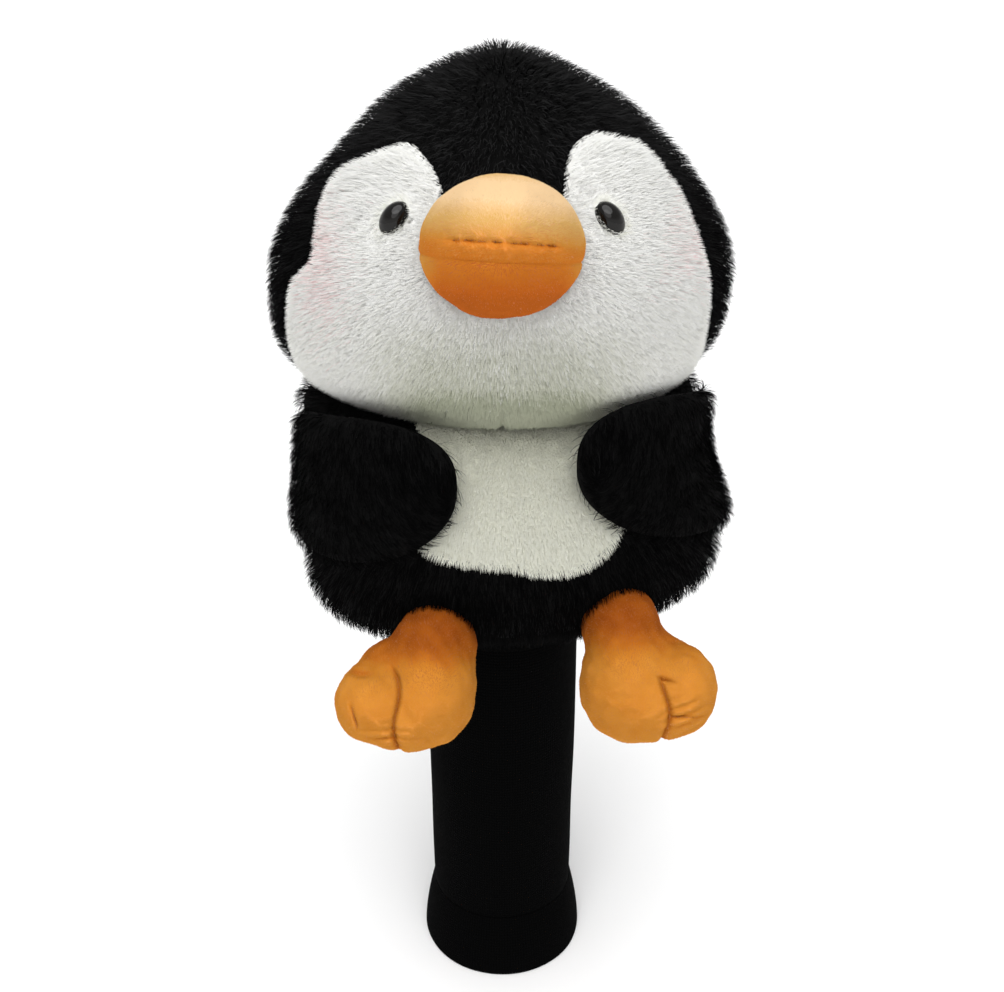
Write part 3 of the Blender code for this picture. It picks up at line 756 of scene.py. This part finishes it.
def head():
    face_edge = smooth_outline(FACE)
    rng = np.random.default_rng(11)
    points, faces = blob_skin(HEAD, BASE_INSET, SKIN_SIDES, HEAD_ROWS)
    points = settle_head(points)
    normals = smooth_normals(points, faces)
    to_body = BODY_FRAME.inverted()

    def region(at, left_out=False):
        is_face = in_panel(face_edge, at, 3, left_out)
        return np.where(is_face, np.where(at[:, 0] < 0, 3, 4),
                        np.where(np.abs(at[:, 0]) < GUSSET_HALF_WIDTH, 0, np.where(at[:, 0] < 0, 1, 2)))

    middles = points[faces].mean(1)
    edge = to_outline(face_edge, middles[:, 0], middles[:, 2]) < SEAM_GAP
    face_region = region(middles, edge)
    hidden = inside_blob(BODY, transform(to_body, middles), HIDDEN_DEPTH) < 1
    names = ["crown_gusset", "head_side_left", "head_side_right", "face_left", "face_right"]
    black = pile_finishes(["black"])
    white = pile_finishes(["white", "blush"])
    dark_cloth = backing("black_backing", (0.003, 0.003, 0.003), (0.001, 0.001, 0.001))
    pale_cloth = backing("white_backing", (0.90, 0.90, 0.88), (0.80, 0.80, 0.78))
    dark_roots = scatter(points, faces, normals, DENSITY["head"], rng)
    pale_points = points + normals * FACE_LIFT
    pale_roots = scatter(pale_points, faces, normals, DENSITY["face"], rng)
    for index, name in enumerate(names):
        is_face = index > 2
        roots, out = pale_roots if is_face else dark_roots
        keep = region(roots) == index
        keep &= inside_blob(BODY, transform(to_body, roots), 0.004) > 1
        keep &= ~in_beak(roots, -0.001)
        near_eye, off_eye = from_eye(roots)
        keep &= (near_eye > -0.0008) | (roots[:, 1] > 0)
        roots, out, near_eye, off_eye = roots[keep], out[keep], near_eye[keep], off_eye[keep]
        at_edge = 1 - 0.45 * (1 - ramp(to_outline(face_edge, roots[:, 0], roots[:, 2]), 0.0, 0.0035))
        at_edge = np.where(roots[:, 1] < 0, at_edge, 1)
        if is_face:
            mesh = face_pile(name, roots, out, at_edge, near_eye, off_eye, white, rng)
        else:
            mesh = head_pile(name, roots, out, at_edge, black, rng)
        skin = part_of(pale_points if is_face else points, faces, (face_region == index) & ~hidden)
        fur_piece(name + "_plush", [name], "cover", skin, mesh,
                  pale_cloth if is_face else dark_cloth)


# The body


def under_wing(local):
    """Which points of the body lie under a wing, at its rest."""
    azimuth = np.arctan2(np.abs(local[:, 0]) / BODY["width"], -(local[:, 1] - BODY["y"]) / BODY["front"])
    covered = np.zeros(len(local), bool)
    for label, side in (("left", -1), ("right", 1)):
        reach = (azimuth - WING_ROOT[0]) / (WING_TIP[label][0] - WING_ROOT[0])
        level = WING_ROOT[1] + (WING_TIP[label][1] - WING_ROOT[1]) * reach
        along, up = reach * 2 - 1, (local[:, 2] - level) / WING_HALF_HEIGHT
        covered |= (np.abs(along) ** 2.5 + np.abs(up) ** 2.5 < 0.95) & (np.sign(local[:, 0]) == side)
    return covered


def body():
    bib_edge = smooth_outline(BIB)
    rng = np.random.default_rng(23)
    points, faces = blob_skin(BODY, BASE_INSET, SKIN_SIDES, BODY_ROWS)
    points = shoulders(sag(points))
    normals = smooth_normals(points, faces)

    def region(at, left_out=False):
        is_bib = in_panel(bib_edge, at, 4, left_out)
        return np.where(is_bib, 0, np.where(at[:, 1] < SEAM_Y, 1, np.where(at[:, 0] < 0, 2, 3)))

    middles = points[faces].mean(1)
    edge = to_outline(bib_edge, middles[:, 0], middles[:, 2]) < SEAM_GAP
    face_region = region(middles, edge)
    world = transform(BODY_FRAME, middles)
    hidden = inside_blob(HEAD, world, HIDDEN_DEPTH) < 1
    hidden |= (np.hypot(world[:, 0], world[:, 1]) < NECK_SKIN) & (world[:, 2] < NECK_TOP)
    names = ["belly_bib", "body_front", "body_back_left", "body_back_right"]
    black, cream = pile_finishes(["black"]), pile_finishes(["cream"])
    dark_cloth = bpy.data.materials["black_backing"]
    cream_cloth = backing("cream_backing", (0.84, 0.84, 0.72), (0.72, 0.72, 0.60))
    dark_roots = scatter(points, faces, normals, DENSITY["body"], rng)
    pale_roots = scatter(points, faces, normals, DENSITY["bib"], rng)
    for index, name in enumerate(names):
        is_bib = index == 0
        roots, out = pale_roots if is_bib else dark_roots
        keep = region(roots) == index
        world = transform(BODY_FRAME, roots)
        keep &= inside_blob(HEAD, world, 0.005) > 1
        keep &= ~((np.hypot(world[:, 0], world[:, 1]) < NECK_PILE) & (world[:, 2] < NECK_TOP))
        roots, out = roots[keep], out[keep]
        count = len(roots)
        covered = under_wing(roots)
        down = np.tile([0.0, 0.0, -1.0], (count, 1))
        low = 1 - ramp(roots[:, 2], 0.172, 0.185)
        down[:, :2] += unit(roots[:, :2]) * low[:, None] * 2
        if is_bib:
            length = LENGTH["bib"] * rng.uniform(0.85, 1.1, count) * np.where(covered, 0.8, 1)
            shade = rng.choice(4, count, p=[0.35, 0.3, 0.15, 0.2])
            mesh = pile(name + "_pile", roots, out, down, length, WIDTH["bib"], shade, cream, rng,
                        **SHORT_PLUSH)
        else:
            length = LENGTH["body"] * rng.uniform(0.75, 1.1, count) * np.where(covered, 0.62, 1)
            shade = rng.choice(4, count, p=[0.75, 0.22, 0.03, 0.0])
            mesh = pile(name + "_pile", roots, out, down, length, WIDTH["body"], shade, black, rng,
                        lean=0.65, wild=0.24, soft=0.85, tuft=0.14)
        mesh.transform(BODY_FRAME)
        skin_points, skin_faces = part_of(points, faces, (face_region == index) & ~hidden)
        fur_piece(name + "_plush", [name], "cover",
                  (transform(BODY_FRAME, skin_points), skin_faces), mesh,
                  cream_cloth if is_bib else dark_cloth)


# The wings


def wings():
    black = pile_finishes(["black"])
    dark_cloth = bpy.data.materials["black_backing"]
    for label, side, seed in (("left", -1, 31), ("right", 1, 37)):
        rng = np.random.default_rng(seed)

        def place(radius, angle, height):
            bend = 2 / 2.5
            along = radius * signed_power(np.cos(angle), bend)
            up = radius * signed_power(np.sin(angle), bend)
            reach = (along + 1) / 2
            azimuth = WING_ROOT[0] + (WING_TIP[label][0] - WING_ROOT[0]) * reach
            level = WING_ROOT[1] + (WING_TIP[label][1] - WING_ROOT[1]) * reach + WING_HALF_HEIGHT * up
            point = blob_point(BODY, azimuth, level, -height, np.minimum(level, WING_WRAP_Z))
            point[..., 0] *= side
            return sag(point)

        sides = 96
        angle = np.arange(sides) * math.tau / sides
        outer = np.linspace(0.04, 1, 22)
        rings = [place(WING_FILL * radius, angle, WING_RIM + WING_SWELL * math.sqrt(1 - radius ** 2))
                 for radius in outer]
        rings += [place(WING_EDGE[0], angle, np.full(sides, WING_EDGE[1]))]
        rings += [place(WING_FILL * radius, angle, np.full(sides, WING_INNER)) for radius in outer[::-1]]
        points = np.vstack([*rings, rings[0].mean(0), rings[-1].mean(0)])
        faces = capped_faces(len(rings), sides)
        if side > 0:
            faces = faces[:, ::-1]
        normals = smooth_normals(points, faces)
        centre = points.mean(0)
        if np.sum((points - centre) * normals) < 0:
            faces, normals = faces[:, ::-1], -normals
        roots, out = scatter(points, faces, normals, DENSITY["wing"], rng)
        inwards = unit(np.stack([-roots[:, 0], BODY["y"] - roots[:, 1], np.zeros(len(roots))], 1))
        shown = np.sum(out * inwards, 1) <= WING_BARE
        roots, out = roots[shown], out[shown]
        count = len(roots)
        tip = points[np.argmin(points[:, 1])]
        comb = unit(tip - roots) * 0.7 + np.array([0, 0, -0.6])
        length = LENGTH["wing"] * rng.uniform(0.75, 1.12, count)
        shade = rng.choice(4, count, p=[0.72, 0.24, 0.04, 0.0])
        mesh = pile("wing_pile", roots, out, comb, length, WIDTH["wing"], shade, black, rng, lean=0.8,
                    wild=0.22, soft=0.85, tuft=0.12)
        mesh.transform(BODY_FRAME)
        fur_piece(f"wing_{label}_plush", [f"wing_{label}_outer", f"wing_{label}_inner",
                                          f"wing_{label}_stuffing"], "wing_" + label,
                  (transform(BODY_FRAME, points), faces), mesh, dark_cloth)


# The beak


# Where along the mouth line the cloth is gathered, how widely and how deeply
PUCKERS = ((-0.0132, 0.0011, 0.5), (-0.0095, 0.0016, 0.9), (-0.0058, 0.0010, 0.55), (-0.0012, 0.0013, 0.7),
           (0.0034, 0.0009, 0.45), (0.0062, 0.0014, 0.9), (0.0112, 0.0010, 0.5), (0.0145, 0.0015, 0.85))


def beak_mouth(x):
    """The height of the stitched mouth line across the beak, in the beak's frame."""
    return 0.0022 - 0.06 * x - 1.2 * x ** 2


def beak_seam(x):
    """The height of the seam between the beak's two colours."""
    return -0.0032 - 0.05 * x


def puckers(x):
    """Where along the mouth line the stitches are pulled tight."""
    return sum(depth * hill(x, at, wide) for at, wide, depth in PUCKERS)


def beak():
    directions, faces = ball(NAP_DETAIL)
    sizes = np.array(BEAK_SIZES)
    points = directions * sizes
    out = unit(directions / sizes)
    x, z = points[:, 0], points[:, 2]
    in_front = ramp(-points[:, 1], 0.004, 0.016)
    reach = 1 - ramp(np.abs(x), 0.0155, 0.0190)
    from_mouth = z - beak_mouth(x)
    push = -(0.0003 + 0.0012 * puckers(x)) * hill(from_mouth, 0, 0.0008) * in_front * reach
    push += (0.00022 * np.sin(x / 0.0009 + 2 * z / 0.003) * hill(from_mouth, 0, 0.0022)
             * in_front * reach)
    push -= 0.0005 * hill(z, beak_seam(x), 0.0008)
    lip = (beak_mouth(x) + beak_seam(x)) / 2
    push += 0.0006 * hill(z, lip, 0.0022) * in_front * (1 - ramp(np.abs(x), 0.018, 0.023))
    push += 0.0004 * ripple(points, 0.016, 52)
    points = points + out * push[:, None]

    def tone(at):
        x, z = at[:, 0], at[:, 2]
        above = z - beak_mouth(x)
        # Painted highlight: the upper beak takes its palest shades high up, and turns more orange towards
        # the mouth.
        upper = np.interp(above, [-0.006, -0.001, 0.001, 0.004, 0.008, 0.012, 0.016, 0.019],
                          [3.1, 2.7, 2.0, 1.3, 0.7, 0.0, -0.3, 0.5])
        # Painted shade: darker shades in the puckers along the mouth.
        gathered = 0.3 + 1.3 * np.minimum(puckers(x), 1)
        upper += gathered * hill(above, 0, 0.0007) * (1 - ramp(np.abs(x), 0.0155, 0.0190))
        # The lower beak is darker, partly its own deeper orange and partly painted shade, darker still
        # towards its bottom as painted shade on the underside, and lighter at its sides.
        lower = 2.9 + 1.4 * ramp(-z, 0.003, 0.015) - 0.9 * ramp(np.abs(x), 0.017, 0.024)
        share = ramp(z - beak_seam(x), -0.0008, 0.0008)
        return upper * share + lower * (1 - share) + 0.15 * ripple(at, 0.012, 54)

    rng = np.random.default_rng(41)
    # Painted highlight: the upper beak's cloth turns paler near its top.
    light = velboa("light_orange_velboa", (0.62, 0.23, 0.032), (0.58, 0.19, 0.022), 45.0,
                   above=(0.78, 0.54, 0.29), rise=(0.3530, 0.3625))
    # The lower beak's darker cloth is partly its own deeper orange and partly painted shade.
    deep = velboa("deep_orange_velboa", (0.54, 0.135, 0.012), (0.48, 0.110, 0.010), 60.0)
    shades = pile_finishes(["beak"], NAP_STEPS)
    middles = points[faces].mean(1)
    below = middles[:, 2] < beak_seam(middles[:, 0])
    buried = inside_blob(HEAD, transform(BEAK_POSE, middles), 0.009) < 1
    for name, keep, finish, node, slot in (
            ("beak_upper_velboa", ~below, light, "beak_upper", "orange_velboa"),
            ("beak_lower_velboa", below, deep, "beak_lower", "dark_orange_velboa")):
        velboa_piece(name, [node], "cover", part_of(points, faces, keep & ~buried), BEAK_POSE, finish,
                     shades, tone, (0.0, 0.8, -0.2), rng)
    front = points[points[:, 1] < 0]
    dashes = []
    for at, wide, _ in PUCKERS:
        for shift in (-0.6 * wide, 0.6 * wide):
            dash = []
            for x in np.linspace(at + shift - 0.0005, at + shift + 0.0005, 5):
                near = np.argmin((front[:, 0] - x) ** 2 + (front[:, 2] - beak_mouth(x) - 0.0002) ** 2)
                dash.append(front[near] + (0, -0.0004, 0))
            dashes.append(transform(BEAK_POSE, np.array(dash)))
    tube("mouth_thread", dashes, MOUTH_THREAD, bpy.data.materials["orange_thread"], "cover",
         ["mouth_stitch"])


# The feet


def lobe_gap(lobe, at):
    """How far each point is outside one lobe."""
    centre, sizes = (np.array(part) for part in lobe)
    return (np.linalg.norm((at - centre) / sizes, axis=-1) - 1) * sizes.mean()


def foot_surface(lobes, directions):
    """How far out the lobes' joined surface is along each direction, looked for from outside."""
    rounding = 0.0024
    reach = np.full(len(directions), 0.045)
    found = np.zeros(len(directions), bool)
    before, step = np.ones(len(directions)), 0.00025
    for distance in np.arange(0.045, 0.004, -step):
        at = directions * distance
        joined = -rounding * np.log(sum(np.exp(-lobe_gap(lobe, at) / rounding) for lobe in lobes))
        crossing = (joined < 0) & ~found
        short = joined / np.minimum(joined - before, -1e-9)
        reach = np.where(crossing, distance + step * short, np.where(found, reach, distance))
        found |= crossing
        before = joined
    return reach


def foot_crease(label, at, width):
    """The long crease between a foot's two lobes, from its top down."""
    lobes, top = FOOT_LOBES[label], CREASE_TOP[label]
    between = lobe_gap(lobes[0], at) - lobe_gap(lobes[1], at)
    bend = 0.0026 * np.sin(at[:, 2] / 0.0052 + 0.6)
    return (hill(between, bend, width) * ramp(-at[:, 1], 0.000, 0.007)
            * (1 - ramp(at[:, 2], top - 0.002, top + 0.002)))


def foot_folds(label, at):
    """The small creases beside the long one, where the thread gathers the cloth."""
    x, z = at[:, 0], at[:, 2]
    if label == "left":
        short = np.exp(-((x + 0.0165 + 0.25 * (z + 0.007)) / 0.0008) ** 2)
        short *= hill(z, -0.0070, 0.0038)
        dent = np.exp(-((x + 0.0150) / 0.0050) ** 2 - ((z - 0.0072) / 0.0010) ** 2)
        gather = np.sin(z / 0.00055) * np.exp(-((x + 0.0045) / 0.0075) ** 2
                                              - ((z + 0.0145) / 0.0035) ** 2)
    else:
        short = np.exp(-((z - 0.0008 + 0.3 * (x - 0.005)) / 0.0008) ** 2)
        short *= hill(x, 0.0045, 0.0028)
        dent = np.exp(-((x - 0.0110) / 0.0060) ** 2 - ((z + 0.0125) / 0.0009) ** 2)
        gather = np.sin((z - 0.4 * x) / 0.0006) * np.exp(-((x - 0.0100) / 0.0060) ** 2
                                                         - ((z + 0.0130) / 0.0065) ** 2)
    return (1.0 * short + 0.8 * dent - 0.45 * gather) * ramp(-at[:, 1], -0.002, 0.005)


def toe_threads(label, points, pose):
    """The threads that pull in a foot's creases, each lying in its own."""
    front = points[points[:, 1] < 0]
    if label == "left":
        paths = [[(-0.0030, z) for z in np.linspace(0.006, -0.016, 24)],
                 [(-0.0165 - 0.25 * (z + 0.007), z) for z in np.linspace(-0.003, -0.011, 8)]]
    else:
        paths = [[(0.0055, z) for z in np.linspace(0.000, -0.018, 20)],
                 [(x, -0.0125) for x in np.linspace(0.0060, 0.0160, 10)]]
    for number, path in enumerate(paths, 1):
        line = []
        for x, z in path:
            lowest = front[np.argmin((front[:, 0] - x) ** 2 + (front[:, 2] - z) ** 2)]
            window = front[(np.abs(front[:, 2] - z) < 0.0005) & (np.abs(front[:, 0] - x) < 0.0060)]
            if number == 1 and len(window):
                lowest = window[np.argmax(foot_crease(label, window, 0.0014))]
            line.append(lowest + (0, -0.0002, 0))
        line = np.array(line)
        line[1:-1] = (line[:-2] + line[1:-1] + line[2:]) / 3
        tube(f"toe_thread_{label}_{number}", [transform(pose, line)], TOE_THREAD,
             bpy.data.materials["orange_thread"], "foot_" + label,
             [f"toe_stitch_{label}_{number}"])


def feet():
    # Painted shade: the foot's cloth turns darker towards its top, by the body.
    finish = velboa("foot_velboa", (0.59, 0.230, 0.029), (0.55, 0.200, 0.022), 50.0,
                    above=(0.34, 0.083, 0.0062), rise=(0.190, 0.205))
    sole_finish = velboa("sole_velboa", (0.59, 0.230, 0.029), (0.55, 0.200, 0.022), 60.0)
    shades = pile_finishes(["foot"], NAP_STEPS)
    directions, faces = ball(NAP_DETAIL)
    for label, side in (("left", -1), ("right", 1)):
        rng = np.random.default_rng(61 if side < 0 else 67)
        lobes = FOOT_LOBES[label]
        pose = Matrix.Translation(FOOT_PLACE[label]) @ Matrix.Rotation(FOOT_TILT, 4, "X")
        base = directions * foot_surface(lobes, directions)[:, None]
        smooth = smooth_normals(base, faces)
        push = -0.0015 * foot_crease(label, base, 0.0014) - 0.0008 * foot_crease(label, base, 0.0045)
        push -= 0.0012 * foot_folds(label, base)
        push += 0.0005 * ripple(base, 0.011, 61 if side < 0 else 62)
        points = base + smooth * push[:, None]

        def tone(at):
            # Painted shade: darker towards the ankle by the body, in the long crease and in the small
            # folds.
            painted_ankle_shade = 3.0 * ramp(at[:, 2], 0.004, 0.021)
            painted_crease_shade = 1.7 * foot_crease(label, at, 0.0016)
            gathered = 1.9 * np.clip(foot_folds(label, at), 0, 1)
            return 0.45 + painted_ankle_shade + painted_crease_shade + gathered + 0.45 * ripple(at, 0.010, 63)

        middles = transform(pose, points[faces].mean(1))
        buried = inside_blob(BODY, transform(BODY_FRAME.inverted(), middles), 0.0085) < 1
        is_sole = middles[:, 2] < FOOT_PLACE[label][2] - FOOT_HINGE_DROP - 0.25 * (middles[:, 1] + 0.06)
        for name, keep, cloth, nodes, slot in (
                (f"foot_{label}_upper_velboa", ~is_sole, finish,
                 [f"foot_{label}_upper", f"foot_{label}_stuffing"], "orange_velboa"),
                (f"foot_{label}_sole_velboa", is_sole, sole_finish, [f"foot_{label}_sole"],
                 "dark_orange_velboa")):
            velboa_piece(name, nodes, "foot_" + label, part_of(points, faces, keep & ~buried), pose,
                         cloth, shades, tone, (0.0, 0.8, 0.2), rng)
        toe_threads(label, points, pose)


# The sock


def turned_piece(name, profile, nodes, material, sides=168, wander=0.0):
    """A closed turned shape about Z, slightly uneven, as knitted cloth is."""
    angle = np.arange(sides) * math.tau / sides
    rings = []
    for radius, height in profile:
        ring = np.stack([radius * np.cos(angle), radius * np.sin(angle), np.full(sides, height)], 1)
        ring[:, :2] *= (1 + wander * ripple(ring * [1, 1, 0.6], 0.045, 71, 2) / radius)[:, None]
        rings.append(ring)
    faces = grid_faces(len(rings), sides, loop_rows=True)
    return shaped(name, np.vstack(rings), faces, material, "cover", nodes)


def sock():
    finish = knit("sock_rib", (0.0014, 0.0014, 0.0015), (0.0006, 0.0006, 0.0006), 90, 700.0)
    bore = SOCK_RADIUS - KNIT
    levels = np.linspace(CUFF_HEIGHT + 0.0003, SOCK_TOP, 44)
    profile = [(SOCK_RADIUS, level) for level in levels] + [(bore, level) for level in levels[::-1]]
    turned_piece("sock_knit", profile, ["sock_outer"], finish, wander=0.00035)
    levels = np.linspace(0.0009, CUFF_HEIGHT, 26)
    flare = [(CUFF_RADIUS - (CUFF_RADIUS - SOCK_RADIUS) * (level / CUFF_HEIGHT) ** 1.6, level)
             for level in levels]
    hem = [(CUFF_RADIUS - 0.0004, 0.0003), (CUFF_RADIUS - 0.0012, 0)]
    inner = [(max(radius - KNIT, bore), level) for radius, level in flare[::-1] if level > 0.0015]
    inner += [(0.0310, 0.0015), (0.0294, 0.0015), (0.0294, 0)]
    turned_piece("cuff_knit", hem[::-1] + flare + inner, ["sock_cuff"], finish, wander=0.00025)


# The eyes


def eyes():
    gloss = moulded("eye_gloss", (0.006, 0.005, 0.004), (0.003, 0.003, 0.003), 0.10, specular=0.28)
    sides = 64
    angle = np.arange(sides) * math.tau / sides
    for label, place in EYES.items():
        place = place @ Matrix.Rotation(-EYE_TILT[label], 4, "Z")
        profile = [(math.cos(rise), EYE_DOME * math.sin(rise) - EYE_SINK)
                   for rise in np.radians(np.linspace(86, 0, 20))]
        profile += [(1.0, -EYE_RIM - EYE_SINK), (EYE_STEM, -EYE_RIM - EYE_SINK), (EYE_STEM, -EYE_DEPTH),
                    (0.02, -EYE_DEPTH)]
        rings = [np.stack([share * EYE_SIZES[0] * np.cos(angle), share * EYE_SIZES[1] * np.sin(angle),
                           np.full(sides, height)], 1) for share, height in profile]
        faces = [face[::-1] for face in grid_faces(len(rings), sides)]
        faces.append(tuple(range(sides)))
        shaped("eye_" + label + "_stud", transform(place, np.vstack(rings)), faces, gloss, "cover",
               ["eye_" + label])


# Carried-over CAD nodes


def cad_mesh(name, pose):
    """A CAD node's points in the frame of a pose, and its faces."""
    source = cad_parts[name]
    points = np.array([vertex.co for vertex in source.data.vertices])
    faces = [tuple(face.vertices) for face in source.data.polygons]
    return transform(pose.inverted() @ source.matrix_world, points), faces


def carried_over():
    """Finishes for the pieces inside, and copies of three that are drawn in to stay inside the skins."""
    filling = fibre("fibre_filling", (0.92, 0.92, 0.91), (0.66, 0.66, 0.65), 220.0, 0.003)
    fleece = fibre("pouch_fleece", (0.80, 0.80, 0.78), (0.66, 0.66, 0.64), 900.0, 0.0008)
    inner_knit = knit("sock_lining_rib", (0.030, 0.030, 0.032), (0.012, 0.012, 0.013), 90, 700.0)
    band = knit("elastic_band", (0.0030, 0.0030, 0.0030), (0.0010, 0.0010, 0.0010), 60, 1500.0)
    washer = moulded("washer_plastic", (0.82, 0.82, 0.80), (0.74, 0.74, 0.72), 0.35)
    for name, shape, pose in (("head_stuffing", HEAD, Matrix()), ("body_stuffing", BODY, BODY_FRAME)):
        points, faces = cad_mesh(name, pose)
        middle = np.array([0, shape["y"], shape["z"]])
        for _ in range(DRAW_ROUNDS):
            outside = inside_blob(shape, points, FILLING_DEPTH) > 1
            points[outside] = middle + (points[outside] - middle) * DRAW_SHARE
        shaped(name.replace("stuffing", "filling"), transform(pose, points), faces, filling, "cover",
               [name])
    points, faces = cad_mesh("pouch_lining", Matrix())
    for _ in range(DRAW_ROUNDS):
        outside = inside_blob(HEAD, points, LINING_DEPTH) > 1
        outside &= inside_blob(BODY, transform(BODY_FRAME.inverted(), points), LINING_DEPTH) > 1
        outside &= points[:, 2] > LINING_FROM
        points[outside, :2] *= DRAW_SHARE
    shaped("pouch_fleece_lining", points, faces, fleece, "cover", ["pouch_lining"])
    chosen = {"beak_stuffing": filling, "sock_lining": inner_knit, "cuff_elastic": band,
              "neck_elastic": band, "eye_washer_left": washer, "eye_washer_right": washer}
    for name, material in chosen.items():
        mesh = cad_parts[name].data
        mesh.materials.clear()
        mesh.materials.append(material)


# The studio


def studio():
    camera = placed("camera", bpy.data.cameras.new("camera"))
    camera.location = CAMERA_PLACE
    camera.rotation_euler = (CAMERA_PITCH, 0, 0)
    camera.data.lens = CAMERA_LENS
    camera.data.sensor_width = CAMERA_SENSOR
    bpy.context.scene.camera = camera
    bpy.context.scene.view_settings.view_transform = "Standard"

    mesh = bpy.data.meshes.new("floor")
    corners = ((-1, -1), (1, -1), (1, 1), (-1, 1))
    mesh.from_pydata([(x * FLOOR_REACH, y * FLOOR_REACH, 0) for x, y in corners], [], [(0, 1, 2, 3)])
    nodes = Nodes("floor_paper", roughness=0.9)
    nodes.colour(nodes.blend(nodes.noise(3.0, 2.0), (0.93, 0.93, 0.93), (0.95, 0.95, 0.95)))
    mesh.materials.append(nodes.material)
    placed("floor", mesh)

    world = bpy.data.worlds.new("studio")
    world.use_nodes = True
    place = world.node_tree.nodes.new("ShaderNodeTexCoord").outputs["Generated"]
    split = world.node_tree.nodes.new("ShaderNodeSeparateXYZ")
    rise = world.node_tree.nodes.new("ShaderNodeMapRange")
    world.node_tree.links.new(place, split.inputs[0])
    world.node_tree.links.new(split.outputs[2], rise.inputs[0])
    for index, value in enumerate(SKY_CHANGE + SKY_STRENGTH, 1):
        rise.inputs[index].default_value = value
    world.node_tree.nodes["Background"].inputs["Color"].default_value = (1.0, 1.0, 1.0, 1)
    world.node_tree.links.new(rise.outputs[0], world.node_tree.nodes["Background"].inputs["Strength"])
    bpy.context.scene.world = world

    for name, (target, spread, strength) in LIGHTS.items():
        light = bpy.data.lights.new(name, "SUN")
        light.angle = math.radians(spread)
        light.energy = strength
        lamp = placed(name, light)
        lamp.rotation_euler = Vector(target).to_track_quat("-Z", "Y").to_euler()
        lamp.location = (0, 0, 1)


thread_finish("orange_thread", (0.50, 0.17, 0.020), (0.30, 0.09, 0.010))
studio()
head()
body()
wings()
beak()
feet()
sock()
eyes()
carried_over()
